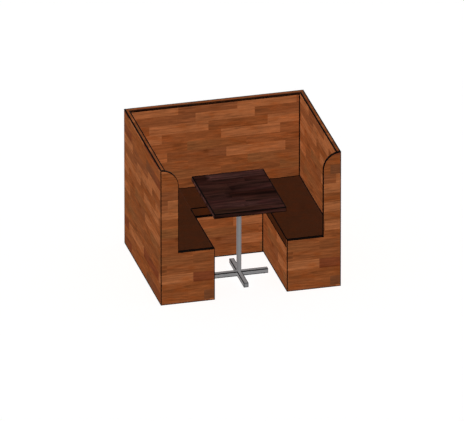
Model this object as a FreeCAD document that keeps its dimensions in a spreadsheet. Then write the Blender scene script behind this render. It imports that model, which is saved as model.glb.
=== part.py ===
import FreeCAD, Part
import Sketcher
import math
import os
from types import SimpleNamespace

# A restaurant booth: bench seats in a U between three panelled walls, and its pedestal table.
# Millimetres. X runs left to right, Y from the open front to the back wall, and Z up.
# The origin lies on the floor in the middle of the booth.

SIZES = {
    # The whole booth
    "width": 1500,
    "depth": 1220,
    "height": 1200,
    # Walls: two skins of strip board on a frame, with a cap on top
    "side_wall": 40,
    "back_wall": 50,
    "skin": 12,
    "cap": 8,
    "frame_member": 60,
    # End panels that close the front of the side walls and of the side seats
    "end_panel": 20,
    "shoulder": 150,
    # Seats
    "seat_height": 460,
    "seat_depth": 400,
    "cushion": 80,
    "cushion_board": 12,
    "board_inset": 5,
    "pad_gap": 0.4,
    "pad_crown": 8,
    "pad_edge_drop": 3,
    "pad_draw": 3,
    "peg": 30,
    "peg_depth": 14,
    "peg_gap": 0.3,
    # Base under the seats
    "fascia": 18,
    "deck": 18,
    "rib": 18,
    "batten": 30,
    "sole_lift": 10,
    # Levelling feet of the booth
    "foot_pad_clearance": 1,
    "foot_pad_height": 8,
    "foot_stem": 10,
    "foot_travel": 12,
    "foot_nut": 17,
    "foot_nut_height": 8,
    "thread_gap": 0.05,
    # Fasteners
    "fastener_gap": 0.1,
    "deck_screw": 4,
    "deck_screw_head": 8,
    "deck_screw_length": 38,
    "panel_screw": 5,
    "panel_screw_head": 9,
    "panel_screw_head_height": 3,
    "dowel": 8,
    "wall_bolt": 8,
    "wall_bolt_head": 13,
    "wall_bolt_head_height": 5,
    # Table top and its fixing plate: the top is as wide as the room between the side seats,
    # and it reaches from the end panels to the back seat
    "table_width": 600,
    "table_height": 750,
    "table_board": 40,
    "table_edge": 2,
    "plate": 280,
    "plate_thickness": 5,
    "plate_clip": 30,
    "plate_screw_inset": 25,
    "plate_screw": 5,
    "plate_screw_head": 10,
    "plate_screw_head_height": 3,
    "plate_screw_length": 25,
    # Pedestal: column, tie rod and cross foot
    "column": 40,
    "column_wall": 2.5,
    "tie_rod": 10,
    "tie_rod_end": 3,
    "rod_nut": 17,
    "rod_nut_height": 8,
    "rod_flange": 22,
    "rod_flange_height": 2,
    "access_hole": 26,
    "foot_span": 480,
    "foot_bar": 40,
    "foot_wall": 3,
    "end_cap": 3,
    "end_cap_plug": 14,
    "end_cap_gap": 0.2,
    # Glides of the table foot
    "glide_inset": 32,
    "glide_pad": 30,
    "glide_pad_height": 3,
    "glide_stem": 8,
    "glide_travel": 10,
    "glide_nut": 13,
    "glide_nut_height": 6.5,
}

# Counts, and places given as shares of the length that they follow.
SIDE_RIBS = 4
BACK_RIBS = 3
SIDE_STUDS = 4
BACK_STUDS = 5
BAY_SCREW_SHARES = (0.2, 0.8)
BAY_BOLT_SHARE = 0.5
FRONT_FOOT_SHARE = 0.3
BACK_FOOT_SHARE = 0.7
PEG_SHARES = (0.22, 0.78)
DOWEL_SHARES = (0.14, 0.45, 0.63, 0.82)
PANEL_SCREW_WIDTH_SHARES = (0.4, 0.75)
PANEL_SCREW_HEIGHT_SHARES = (0.25, 0.75)
END_PANEL_BITE_SHARE = 0.7
WALL_BOLT_BITE_SHARE = 0.625
PAD_STATION_SHARES = (-1.0, -0.5, 0.0, 0.5, 1.0)
PAD_END_CROWN_SHARE = 0.3
HEX_CORNER_SHARE = 2 / math.sqrt(3)

TURNS = {
    "+z": FreeCAD.Rotation(FreeCAD.Vector(1, 0, 0), 0),
    "-z": FreeCAD.Rotation(FreeCAD.Vector(1, 0, 0), 180),
    "+x": FreeCAD.Rotation(FreeCAD.Vector(0, 1, 0), 90),
    "-x": FreeCAD.Rotation(FreeCAD.Vector(0, 1, 0), -90),
    "+y": FreeCAD.Rotation(FreeCAD.Vector(1, 0, 0), -90),
    "-y": FreeCAD.Rotation(FreeCAD.Vector(1, 0, 0), 90),
}


class Size:
    """A length that carries its number and the expression that binds it to the sheet."""

    def __init__(self, text, value):
        self.text = text
        self.value = value

    def joined(self, sign, first, second, value):
        return Size("(%s %s %s)" % (text_of(first), sign, text_of(second)), value)

    def __add__(self, other):
        return self.joined("+", self, other, self.value + value_of(other))

    def __radd__(self, other):
        return self.joined("+", other, self, value_of(other) + self.value)

    def __sub__(self, other):
        return self.joined("-", self, other, self.value - value_of(other))

    def __rsub__(self, other):
        return self.joined("-", other, self, value_of(other) - self.value)

    def __mul__(self, other):
        return self.joined("*", self, other, self.value * value_of(other))

    def __rmul__(self, other):
        return self.joined("*", other, self, value_of(other) * self.value)

    def __truediv__(self, other):
        return self.joined("/", self, other, self.value / value_of(other))


def text_of(term):
    return term.text if isinstance(term, Size) else "(%r)" % term


def value_of(term):
    return term.value if isinstance(term, Size) else term


doc = FreeCAD.newDocument("booth")
sheet = doc.addObject("Spreadsheet::Sheet", "Sizes")
S = SimpleNamespace()
for row, (alias, number) in enumerate(SIZES.items(), start=1):
    sheet.set("A%d" % row, alias)
    sheet.set("B%d" % row, str(number))
    sheet.setAlias("B%d" % row, alias)
    setattr(S, alias, Size("Sizes." + alias, number))
doc.recompute()

# Lines and levels that several pieces share. x is counted from the outer left face, y from
# the front face and z from the floor.
BASE_TOP = S.seat_height - S.cushion
DECK_UNDER = BASE_TOP - S.deck
SKIN_TOP = S.height - S.cap
WALL_BACK = S.depth - S.skin
BACK_FACE = S.depth - S.back_wall
SEAT_LINE = BACK_FACE - S.seat_depth
END_WIDTH = (S.width - S.table_width) / 2
FASCIA_BACK = END_WIDTH - S.fascia
SIDE_SPAN = BACK_FACE - S.end_panel
SIDE_PITCH = (SIDE_SPAN - S.rib) / (SIDE_RIBS - 1)
BACK_SPAN = S.width - 2 * FASCIA_BACK
BACK_PITCH = (BACK_SPAN - S.rib) / (BACK_RIBS - 1)
BEARER_LOW = DECK_UNDER - S.batten
BEARER_MIDDLE = DECK_UNDER - S.batten / 2
SOLE_TOP = S.sole_lift + S.batten
MID_RAIL_LOW = BEARER_MIDDLE - S.frame_member / 2
TABLE_UNDER = S.table_height - S.table_board
PLATE_UNDER = TABLE_UNDER - S.plate_thickness
BAR_TOP = S.glide_pad_height + S.foot_bar
BAR_LENGTH = S.foot_span - 2 * S.end_cap
GLIDE_REACH = S.foot_span / 2 - S.glide_inset
TABLE_DEPTH = SEAT_LINE - S.end_panel
TABLE_Y = (S.end_panel + SEAT_LINE) / 2
FOOT_PAD = S.batten - 2 * S.foot_pad_clearance
PANEL_BITE = END_PANEL_BITE_SHARE * S.end_panel
WALL_BOLT_LENGTH = S.batten + S.skin + WALL_BOLT_BITE_SHARE * (S.side_wall - 2 * S.skin)

kept = []


def bind(piece, name, size):
    """Set a property from a size and keep it bound to the sheet."""
    if isinstance(size, Size):
        piece.setExpression(name, size.text)
    else:
        setattr(piece, name, size)


def place(piece, spot):
    """Bind a piece's place, given in its final coordinates; a plain zero is left as it is."""
    for axis, size in zip("xyz", spot):
        if isinstance(size, Size):
            piece.setExpression("Placement.Base." + axis, size.text)


def booth_spot(x, y, z):
    """A place counted from the outer left face, the front face and the floor."""
    return (x - S.width / 2, y - S.depth / 2, z)


def table_spot(x, y, z):
    """A place counted from the column's axis and the floor."""
    return (x, y + TABLE_Y - S.depth / 2, z)


def keep(*pieces):
    kept.extend(pieces)


def block(name, spot, lengths):
    piece = doc.addObject("Part::Box", name)
    for side, length in zip(("Length", "Width", "Height"), lengths):
        bind(piece, side, length)
    place(piece, spot)
    return piece


def rod(name, aim, spot, diameter, length):
    piece = doc.addObject("Part::Cylinder", name)
    bind(piece, "Radius", diameter / 2)
    bind(piece, "Height", length)
    piece.Placement = FreeCAD.Placement(FreeCAD.Vector(), TURNS[aim])
    place(piece, spot)
    return piece


def hexagon(name, spot, across_flats, height):
    piece = doc.addObject("Part::Prism", name)
    piece.Polygon = 6
    bind(piece, "Circumradius", across_flats / 2 * HEX_CORNER_SHARE)
    bind(piece, "Height", height)
    place(piece, spot)
    return piece


def fuse(name, pieces):
    whole = doc.addObject("Part::MultiFuse", name)
    whole.Shapes = pieces
    return whole


def group(name, pieces):
    """Separate solids that share one node."""
    whole = doc.addObject("Part::Compound", name)
    whole.Links = pieces
    return whole


def cut(name, piece, tools):
    result = doc.addObject("Part::Cut", name)
    result.Base = piece
    result.Tool = tools[0] if len(tools) == 1 else group(name + "_tools", tools)
    return result


def mirrored(piece, name):
    """The same piece on the other side of the booth."""
    other = doc.addObject("Part::Mirroring", name)
    other.Source = piece
    other.Normal = FreeCAD.Vector(1, 0, 0)
    return other


def keep_both(piece):
    """Keep a left piece and make its right twin."""
    keep(piece, mirrored(piece, piece.Name.replace("left", "right")))


def polygon_body(name, spot, plane, corners, length, reverse=False):
    """A body padded from one straight-sided sketch whose corners are bound to the sheet."""
    body = doc.addObject("PartDesign::Body", name)
    place(body, spot)
    sketch = new_sketch(body, name, plane)
    points = [FreeCAD.Vector(value_of(x), value_of(y), 0) for x, y in corners]
    count = len(points)
    for index in range(count):
        sketch.addGeometry(Part.LineSegment(points[index], points[(index + 1) % count]), False)
    for index in range(count):
        joint = Sketcher.Constraint("Coincident", index, 2, (index + 1) % count, 1)
        sketch.addConstraint(joint)
    for index, corner in enumerate(corners):
        fix_point(sketch, index, 1, corner)
    add_pad(body, name, sketch, length, reverse)
    return body


def new_sketch(body, name, plane):
    sketch = body.newObject("Sketcher::SketchObject", name + "_sketch")
    for feature in body.Origin.OriginFeatures:
        if feature.Role == plane:
            sketch.AttachmentSupport = [(feature, "")]
    sketch.MapMode = "FlatFace"
    return sketch


def fix_point(sketch, geometry, end, corner):
    """Tie a sketch point to its two coordinates; zero lies on the axis itself."""
    for kind, axis_line, size in (("DistanceX", -2, corner[0]), ("DistanceY", -1, corner[1])):
        if isinstance(size, Size):
            index = sketch.addConstraint(Sketcher.Constraint(kind, geometry, end, size.value))
            sketch.setExpression("Constraints[%d]" % index, size.text)
        else:
            sketch.addConstraint(Sketcher.Constraint("PointOnObject", geometry, end, axis_line))


def add_pad(body, name, sketch, length, reverse):
    pad = body.newObject("PartDesign::Pad", name + "_pad")
    pad.Profile = sketch
    bind(pad, "Length", length)
    pad.Reversed = reverse
    return pad


def fastener(name, aim, seat, shank, length, head=None, head_height=None, hexagonal=False):
    """A screw or bolt that points along aim. Its head stands on the seat, or without a
    height is countersunk flush with it. Without a head it is a plain shank for a hole."""
    pieces = [rod(name + "_shank", "+z", (0, 0, 0), shank, length)]
    if head is not None and head_height is None:
        cone = doc.addObject("Part::Cone", name + "_head")
        bind(cone, "Radius1", head / 2)
        bind(cone, "Radius2", shank / 2)
        bind(cone, "Height", (head - shank) / 2)
        pieces.append(cone)
    elif head is not None and hexagonal:
        pieces.append(hexagon(name + "_head", (0, 0, 0 - head_height), head, head_height))
    elif head is not None:
        pieces.append(rod(name + "_head", "+z", (0, 0, 0 - head_height), head, head_height))
    whole = fuse(name, pieces) if len(pieces) > 1 else pieces[0]
    whole.Placement = FreeCAD.Placement(FreeCAD.Vector(), TURNS[aim])
    place(whole, seat)
    return whole


def bay_places(start, pitch, bays, shares):
    """Places along a run of bays between ribs, at each share of every bay's clear length."""
    return [start + index * pitch + S.rib + share * (pitch - S.rib)
            for index in range(bays) for share in shares]


SIDE_SCREW_PLACES = bay_places(S.end_panel, SIDE_PITCH, SIDE_RIBS - 1, BAY_SCREW_SHARES)
SIDE_BOLT_PLACES = bay_places(S.end_panel, SIDE_PITCH, SIDE_RIBS - 1, (BAY_BOLT_SHARE,))
BACK_SCREW_PLACES = bay_places(FASCIA_BACK, BACK_PITCH, BACK_RIBS - 1, BAY_SCREW_SHARES)
BACK_BOLT_PLACES = bay_places(FASCIA_BACK, BACK_PITCH, BACK_RIBS - 1, (BAY_BOLT_SHARE,))
SIDE_BEARER_LINES = (S.side_wall + S.batten / 2, FASCIA_BACK - S.batten / 2)
BACK_BEARER_LINES = (BACK_FACE - S.batten / 2, SEAT_LINE + S.fascia + S.batten / 2)


def wall_bolts_left(name, gap, with_head):
    """Bolts through the left bearer and the inner skin into the middle rail of the wall."""
    bolts = []
    for index, y in enumerate(SIDE_BOLT_PLACES):
        seat = booth_spot(S.side_wall + S.batten, y, BEARER_MIDDLE)
        bolts.append(wall_bolt("%s_%d" % (name, index), "-x", seat, gap, with_head))
    return bolts


def wall_bolts_back(name, gap, with_head):
    """The same through the back bearer."""
    bolts = []
    for index, x in enumerate(BACK_BOLT_PLACES):
        seat = booth_spot(x, BACK_FACE - S.batten, BEARER_MIDDLE)
        bolts.append(wall_bolt("%s_%d" % (name, index), "+y", seat, gap, with_head))
    return bolts


def wall_bolt(name, aim, seat, gap, with_head):
    shank = S.wall_bolt + 2 * gap
    if not with_head:
        return fastener(name, aim, seat, shank, WALL_BOLT_LENGTH + gap)
    return fastener(name, aim, seat, shank, WALL_BOLT_LENGTH, S.wall_bolt_head,
                    S.wall_bolt_head_height, hexagonal=True)


def dowels_left(name, gap):
    """Dowels between the left end panel and the front stud of the left wall."""
    dowels = []
    for index, share in enumerate(DOWEL_SHARES):
        spot = booth_spot(S.side_wall / 2, S.end_panel - PANEL_BITE - gap, share * S.height)
        size = S.dowel + 2 * gap
        dowels.append(rod("%s_%d" % (name, index), "+y", spot, size, 2 * (PANEL_BITE + gap)))
    return dowels


def panel_screws_left(name, gap, with_head):
    """Screws from inside the base, through the front rib into the left end panel."""
    screws = []
    for across in PANEL_SCREW_WIDTH_SHARES:
        for up in PANEL_SCREW_HEIGHT_SHARES:
            seat = booth_spot(across * END_WIDTH, S.end_panel + S.rib, up * DECK_UNDER)
            label = "%s_%d" % (name, len(screws))
            shank = S.panel_screw + 2 * gap
            length = S.rib + PANEL_BITE
            if with_head:
                screws.append(fastener(label, "-y", seat, shank, length, S.panel_screw_head,
                                       S.panel_screw_head_height))
            else:
                screws.append(fastener(label, "-y", seat, shank, length + gap))
    return screws


def deck_screw(name, x, y, gap):
    return fastener(name, "-z", booth_spot(x, y, BASE_TOP), S.deck_screw + 2 * gap,
                    S.deck_screw_length + gap, S.deck_screw_head + 2 * gap)


def deck_screws_left(name, gap):
    return [deck_screw("%s_%d_%d" % (name, row, index), x, y, gap)
            for row, x in enumerate(SIDE_BEARER_LINES)
            for index, y in enumerate(SIDE_SCREW_PLACES)]


def deck_screws_back(name, gap):
    return [deck_screw("%s_%d_%d" % (name, row, index), x, y, gap)
            for row, y in enumerate(BACK_BEARER_LINES)
            for index, x in enumerate(BACK_SCREW_PLACES)]


def frame_members(name, along, start, span, studs, depth_start, thickness):
    """Rails and studs of one wall. along is the axis that the wall runs on."""
    def member(label, offset, length, low, height):
        if along == "y":
            return block(label, booth_spot(depth_start, start + offset, low),
                         (thickness, length, height))
        return block(label, booth_spot(start + offset, depth_start, low),
                     (length, thickness, height))

    rail = S.frame_member
    top_rail_low = SKIN_TOP - rail
    mid_rail_top = MID_RAIL_LOW + rail
    pieces = [member(name + "_bottom_rail", 0, span, 0, rail),
              member(name + "_middle_rail", 0, span, MID_RAIL_LOW, rail),
              member(name + "_top_rail", 0, span, top_rail_low, rail)]
    for index in range(studs):
        offset = index * (span - rail) / (studs - 1)
        lower = MID_RAIL_LOW - rail
        upper = top_rail_low - mid_rail_top
        pieces.append(member("%s_low_stud_%d" % (name, index), offset, rail, rail, lower))
        pieces.append(member("%s_high_stud_%d" % (name, index), offset, rail, mid_rail_top, upper))
    return group(name + "_members", pieces)


def make_side_walls():
    span = WALL_BACK - S.end_panel
    core = S.side_wall - 2 * S.skin
    keep_both(block("left_wall_outer_skin", booth_spot(0, S.end_panel, 0),
                    (S.skin, S.depth - S.end_panel, SKIN_TOP)))
    members = frame_members("left_wall", "y", S.end_panel, span, SIDE_STUDS, S.skin, core)
    bores = wall_bolts_left("left_frame_bore", S.fastener_gap, False)
    sockets = dowels_left("left_frame_socket", S.fastener_gap)
    keep_both(cut("left_wall_frame", members, bores + sockets))
    board = block("left_inner_board", booth_spot(S.side_wall - S.skin, S.end_panel, 0),
                  (S.skin, span, SKIN_TOP))
    bores = wall_bolts_left("left_skin_bore", S.fastener_gap, False)
    keep_both(cut("left_wall_inner_skin", board, bores))
    run = S.depth - S.end_panel
    corners = [(0, 0), (S.side_wall, 0), (S.side_wall, run - S.back_wall), (0, run)]
    keep_both(polygon_body("left_wall_cap", booth_spot(0, S.end_panel, SKIN_TOP), "XY_Plane",
                           corners, S.cap))


def make_back_wall():
    span = S.width - 2 * S.side_wall
    core = S.back_wall - 2 * S.skin
    keep(block("back_wall_outer_skin", booth_spot(S.skin, WALL_BACK, 0),
               (S.width - 2 * S.skin, S.skin, SKIN_TOP)))
    members = frame_members("back_wall", "x", S.side_wall, span, BACK_STUDS,
                            BACK_FACE + S.skin, core)
    keep(cut("back_wall_frame", members, wall_bolts_back("back_frame_bore", S.fastener_gap, False)))
    board = block("back_inner_board", booth_spot(S.side_wall, BACK_FACE, 0),
                  (span, S.skin, SKIN_TOP))
    keep(cut("back_wall_inner_skin", board, wall_bolts_back("back_skin_bore", S.fastener_gap, False)))
    corners = [(0, S.back_wall), (S.side_wall, 0), (S.width - S.side_wall, 0),
               (S.width, S.back_wall)]
    keep(polygon_body("back_wall_cap", booth_spot(0, BACK_FACE, SKIN_TOP), "XY_Plane",
                      corners, S.cap))


def make_end_panels():
    """An L of solid strip board whose inner top corner is a quarter round."""
    body = doc.addObject("PartDesign::Body", "left_end_board")
    place(body, booth_spot(0, 0, 0))
    sketch = new_sketch(body, "left_end_board", "XZ_Plane")
    spring_line = S.height - S.shoulder
    corners = [(0, 0), (END_WIDTH, 0), (END_WIDTH, S.seat_height),
               (S.shoulder, S.seat_height), (S.shoulder, spring_line), (0, S.height)]
    points = [FreeCAD.Vector(value_of(x), value_of(y), 0) for x, y in corners]
    for index in range(4):
        sketch.addGeometry(Part.LineSegment(points[index], points[index + 1]), False)
    centre = FreeCAD.Vector(0, spring_line.value, 0)
    circle = Part.Circle(centre, FreeCAD.Vector(0, 0, 1), S.shoulder.value)
    sketch.addGeometry(Part.ArcOfCircle(circle, 0, math.pi / 2), False)
    sketch.addGeometry(Part.LineSegment(points[5], points[0]), False)
    for index in range(6):
        following = (index + 1) % 6
        sketch.addConstraint(Sketcher.Constraint("Coincident", index, 2, following, 1))
    for index, corner in enumerate(corners):
        fix_point(sketch, index, 1, corner)
    sketch.addConstraint(Sketcher.Constraint("PointOnObject", 4, 3, -2))
    add_pad(body, "left_end_board", sketch, S.end_panel, True)
    holes = dowels_left("left_end_socket", S.fastener_gap)
    holes += panel_screws_left("left_end_hole", S.fastener_gap, False)
    keep_both(cut("left_end_panel", body, holes))


def make_fascias():
    keep_both(block("left_fascia", booth_spot(FASCIA_BACK, S.end_panel, 0),
                    (S.fascia, SEAT_LINE + S.fascia - S.end_panel, BASE_TOP)))
    keep(block("back_fascia", booth_spot(END_WIDTH, SEAT_LINE, 0),
               (S.width - 2 * END_WIDTH, S.fascia, BASE_TOP)))


def side_pegs(name, gap):
    """Locating pegs of the left cushion, or the bores for them."""
    length = SIDE_SPAN
    x = (S.side_wall + FASCIA_BACK) / 2
    return [rod("%s_%d" % (name, index), "+z",
                booth_spot(x, S.end_panel + share * length, BASE_TOP - S.peg_depth),
                S.peg + 2 * gap, S.peg_depth) for index, share in enumerate(PEG_SHARES)]


def back_pegs(name, gap):
    y = (SEAT_LINE + S.fascia + BACK_FACE) / 2
    return [rod("%s_%d" % (name, index), "+z",
                booth_spot(FASCIA_BACK + share * BACK_SPAN, y, BASE_TOP - S.peg_depth),
                S.peg + 2 * gap, S.peg_depth) for index, share in enumerate(PEG_SHARES)]


def make_decks():
    board = block("left_deck_board", booth_spot(S.side_wall, S.end_panel, DECK_UNDER),
                  (FASCIA_BACK - S.side_wall, SIDE_SPAN, S.deck))
    holes = deck_screws_left("left_deck_hole", S.fastener_gap)
    keep_both(cut("left_seat_deck", board, holes + side_pegs("left_peg_bore", S.peg_gap)))
    board = block("back_deck_board", booth_spot(FASCIA_BACK, SEAT_LINE + S.fascia, DECK_UNDER),
                  (BACK_SPAN, S.seat_depth - S.fascia, S.deck))
    holes = deck_screws_back("back_deck_hole", S.fastener_gap)
    keep(cut("back_seat_deck", board, holes + back_pegs("back_peg_bore", S.peg_gap)))


def side_battens(name, low):
    """Two battens under the left seat: along the wall and behind the fascia."""
    lengths = (S.batten, SIDE_SPAN, S.batten)
    return [block(name + "_by_wall", booth_spot(S.side_wall, S.end_panel, low), lengths),
            block(name + "_by_fascia", booth_spot(FASCIA_BACK - S.batten, S.end_panel, low),
                  lengths)]


def back_battens(name, low):
    lengths = (BACK_SPAN, S.batten, S.batten)
    return [block(name + "_by_wall", booth_spot(FASCIA_BACK, BACK_FACE - S.batten, low), lengths),
            block(name + "_by_fascia", booth_spot(FASCIA_BACK, SEAT_LINE + S.fascia, low),
                  lengths)]


def make_bearers():
    holes = deck_screws_left("left_bearer_hole", S.fastener_gap)
    holes += wall_bolts_left("left_bearer_bore", S.fastener_gap, False)
    battens = group("left_bearer_battens", side_battens("left_bearer", BEARER_LOW))
    keep_both(cut("left_deck_bearers", battens, holes))
    holes = deck_screws_back("back_bearer_hole", S.fastener_gap)
    holes += wall_bolts_back("back_bearer_bore", S.fastener_gap, False)
    battens = group("back_bearer_battens", back_battens("back_bearer", BEARER_LOW))
    keep(cut("back_deck_bearers", battens, holes))


def notch_blocks(battens_of, name):
    """The room that bearers and sole rails take out of the ribs."""
    notches = battens_of(name + "_top", BEARER_LOW) + battens_of(name + "_bottom", 0)
    for notch in notches[2:]:
        bind(notch, "Height", SOLE_TOP)
    return notches


def make_ribs():
    ribs = [block("left_rib_%d" % index,
                  booth_spot(S.side_wall, S.end_panel + index * SIDE_PITCH, 0),
                  (FASCIA_BACK - S.side_wall, S.rib, DECK_UNDER)) for index in range(SIDE_RIBS)]
    holes = panel_screws_left("left_rib_hole", S.fastener_gap, False)
    tools = notch_blocks(side_battens, "left_notch") + holes
    keep_both(cut("left_seat_ribs", group("left_rib_boards", ribs), tools))
    ribs = [block("back_rib_%d" % index,
                  booth_spot(FASCIA_BACK + index * BACK_PITCH, SEAT_LINE + S.fascia, 0),
                  (S.rib, S.seat_depth - S.fascia, DECK_UNDER)) for index in range(BACK_RIBS)]
    tools = notch_blocks(back_battens, "back_notch")
    keep(cut("back_seat_ribs", group("back_rib_boards", ribs), tools))


def leveller_places():
    """The two levelling feet of the left side: x, y and a name for each."""
    first_bay = S.end_panel + S.rib
    last_bay = S.end_panel + (SIDE_RIBS - 2) * SIDE_PITCH + S.rib
    clear = SIDE_PITCH - S.rib
    return (("front", SIDE_BEARER_LINES[1], first_bay + FRONT_FOOT_SHARE * clear),
            ("back", SIDE_BEARER_LINES[0], last_bay + BACK_FOOT_SHARE * clear))


def make_sole_rails_and_levellers():
    bore = S.foot_stem + 2 * S.thread_gap
    bores = [rod("sole_bore_" + end, "+z", booth_spot(x, y, 0), bore, SOLE_TOP)
             for end, x, y in leveller_places()]
    side = cut("left_sole_rails", group("left_sole_battens", side_battens("left_sole", S.sole_lift)),
               bores)
    back = group("back_sole_battens", back_battens("back_sole", S.sole_lift))
    keep(group("sole_rails", [side, mirrored(side, "right_sole_rails"), back]))
    nuts = []
    for end, x, y in leveller_places():
        nut = hexagon("leveller_hexagon_" + end, booth_spot(x, y, SOLE_TOP), S.foot_nut,
                      S.foot_nut_height)
        hole = rod("leveller_thread_" + end, "+z", booth_spot(x, y, SOLE_TOP), bore,
                   S.foot_nut_height)
        nut = cut("leveller_nut_" + end, nut, [hole])
        nuts += [nut, mirrored(nut, "leveller_nut_%s_right" % end)]
        pad = rod("leveller_pad_" + end, "+z", booth_spot(x, y, 0), FOOT_PAD, S.foot_pad_height)
        stem_top = SOLE_TOP + S.foot_nut_height + S.foot_travel
        stem = rod("leveller_stem_" + end, "+z", booth_spot(x, y, 0), S.foot_stem, stem_top)
        keep_both(fuse("leveller_%s_left" % end, [pad, stem]))
    keep(group("leveller_nuts", nuts))


def make_base_fasteners():
    left = deck_screws_left("left_deck_screw", 0) + panel_screws_left("panel_screw", 0, True)
    split = len(left) - len(PANEL_SCREW_WIDTH_SHARES) * len(PANEL_SCREW_HEIGHT_SHARES)
    deck_side = group("left_deck_screws", left[:split])
    panel_side = group("left_panel_screws", left[split:])
    dowel_side = group("left_panel_dowels", dowels_left("panel_dowel", 0))
    bolt_side = group("left_wall_bolts", wall_bolts_left("left_wall_bolt", 0, True))
    deck_back = group("back_deck_screws", deck_screws_back("back_deck_screw", 0))
    bolt_back = group("back_wall_bolts", wall_bolts_back("back_wall_bolt", 0, True))
    keep(group("deck_screws", [deck_side, mirrored(deck_side, "right_deck_screws"), deck_back]),
         group("end_panel_screws", [panel_side, mirrored(panel_side, "right_panel_screws")]),
         group("end_panel_dowels", [dowel_side, mirrored(dowel_side, "right_panel_dowels")]),
         group("wall_bolts", [bolt_side, mirrored(bolt_side, "right_wall_bolts"), bolt_back]))


def pad_outline(y, half_width, height, crown):
    """One cross-section of a cushion: flat below, upright at the sides and domed on top."""
    low_left = FreeCAD.Vector(-half_width, y, 0)
    low_right = FreeCAD.Vector(half_width, y, 0)
    high_right = FreeCAD.Vector(half_width, y, height)
    high_left = FreeCAD.Vector(-half_width, y, height)
    top = FreeCAD.Vector(0, y, height + crown)
    return Part.Wire([Part.LineSegment(low_left, low_right).toShape(),
                      Part.LineSegment(low_right, high_right).toShape(),
                      Part.Arc(high_right, top, high_left).toShape(),
                      Part.LineSegment(high_left, low_left).toShape()])


def cushion_block(name, centre, length, width, turned):
    """A crowned cushion whose long sides draw in between its corners."""
    height = (S.cushion - S.pad_edge_drop).value
    sections = []
    for share in PAD_STATION_SHARES:
        middle = 1 - share * share
        half_width = width.value / 2 - S.pad_draw.value * middle
        crown_share = PAD_END_CROWN_SHARE + (1 - PAD_END_CROWN_SHARE) * middle
        sections.append(pad_outline(share * length.value / 2, half_width, height,
                                    S.pad_crown.value * crown_share))
    piece = doc.addObject("Part::Feature", name)
    piece.Shape = Part.makeLoft(sections, True, False)
    turn = FreeCAD.Rotation(FreeCAD.Vector(0, 0, 1), 90 if turned else 0)
    piece.Placement = FreeCAD.Placement(FreeCAD.Vector(*(size.value for size in centre)), turn)
    return piece


def make_cushions():
    inset = S.pad_gap + S.board_inset
    width = END_WIDTH - S.side_wall
    centre = booth_spot(S.side_wall + width / 2, S.end_panel + SIDE_SPAN / 2, BASE_TOP)
    form = cushion_block("left_cushion_form", centre, SIDE_SPAN - 2 * S.pad_gap,
                         width - 2 * S.pad_gap, False)
    spot = booth_spot(S.side_wall + inset, S.end_panel + inset, BASE_TOP)
    lengths = (width - 2 * inset, SIDE_SPAN - 2 * inset, S.cushion_board)
    pocket = block("left_cushion_pocket", spot, lengths)
    keep_both(cut("left_cushion_pad", form, [pocket]))
    keep_both(block("left_cushion_board", spot, lengths))
    keep_both(group("left_cushion_pegs", side_pegs("left_peg", 0)))
    width = S.width - 2 * END_WIDTH
    centre = booth_spot(S.width / 2, SEAT_LINE + S.seat_depth / 2, BASE_TOP)
    form = cushion_block("back_cushion_form", centre, width - 2 * S.pad_gap,
                         S.seat_depth - 2 * S.pad_gap, True)
    spot = booth_spot(END_WIDTH + inset, SEAT_LINE + inset, BASE_TOP)
    lengths = (width - 2 * inset, S.seat_depth - 2 * inset, S.cushion_board)
    pocket = block("back_cushion_pocket", spot, lengths)
    keep(cut("back_cushion_pad", form, [pocket]),
         block("back_cushion_board", spot, lengths),
         group("back_cushion_pegs", back_pegs("back_peg", 0)))


def plate_screws(name, gap, with_head):
    reach = S.plate / 2 - S.plate_screw_inset
    screws = []
    for along in (-1, 1):
        for across in (-1, 1):
            seat = table_spot(along * reach, across * reach, PLATE_UNDER)
            label = "%s_%d" % (name, len(screws))
            shank = S.plate_screw + 2 * gap
            if with_head:
                screws.append(fastener(label, "+z", seat, shank, S.plate_screw_length,
                                       S.plate_screw_head, S.plate_screw_head_height))
            else:
                screws.append(fastener(label, "+z", seat, shank, S.plate_screw_length + gap))
    return screws


def make_table_top():
    corners = [(0, 0), (S.table_width, 0), (S.table_width, TABLE_DEPTH), (0, TABLE_DEPTH)]
    spot = table_spot(0 - S.table_width / 2, 0 - TABLE_DEPTH / 2, TABLE_UNDER)
    board = polygon_body("table_board_body", spot, "XY_Plane", corners, S.table_board)
    doc.recompute()
    pad = board.Tip
    easing = board.newObject("PartDesign::Fillet", "table_board_easing")
    easing.Base = (pad, ["Edge1"])
    easing.UseAllEdges = True
    bind(easing, "Radius", S.table_edge)
    board.Tip = easing
    keep(cut("table_top", board, plate_screws("table_top_hole", S.fastener_gap, False)))


def make_plate():
    far = S.plate
    clip = S.plate_clip
    corners = [(clip, 0), (far - clip, 0), (far, clip), (far, far - clip),
               (far - clip, far), (clip, far), (0, far - clip), (0, clip)]
    spot = table_spot(0 - S.plate / 2, 0 - S.plate / 2, PLATE_UNDER)
    body = polygon_body("plate_body", spot, "XY_Plane", corners, S.plate_thickness)
    holes = plate_screws("plate_hole", S.fastener_gap, False)
    holes.append(rod("plate_rod_hole", "+z", table_spot(0, 0, PLATE_UNDER),
                     S.tie_rod + 2 * S.fastener_gap, S.plate_thickness))
    keep(cut("table_top_plate", body, holes),
         group("table_top_screws", plate_screws("plate_screw", 0, True)))


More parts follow.
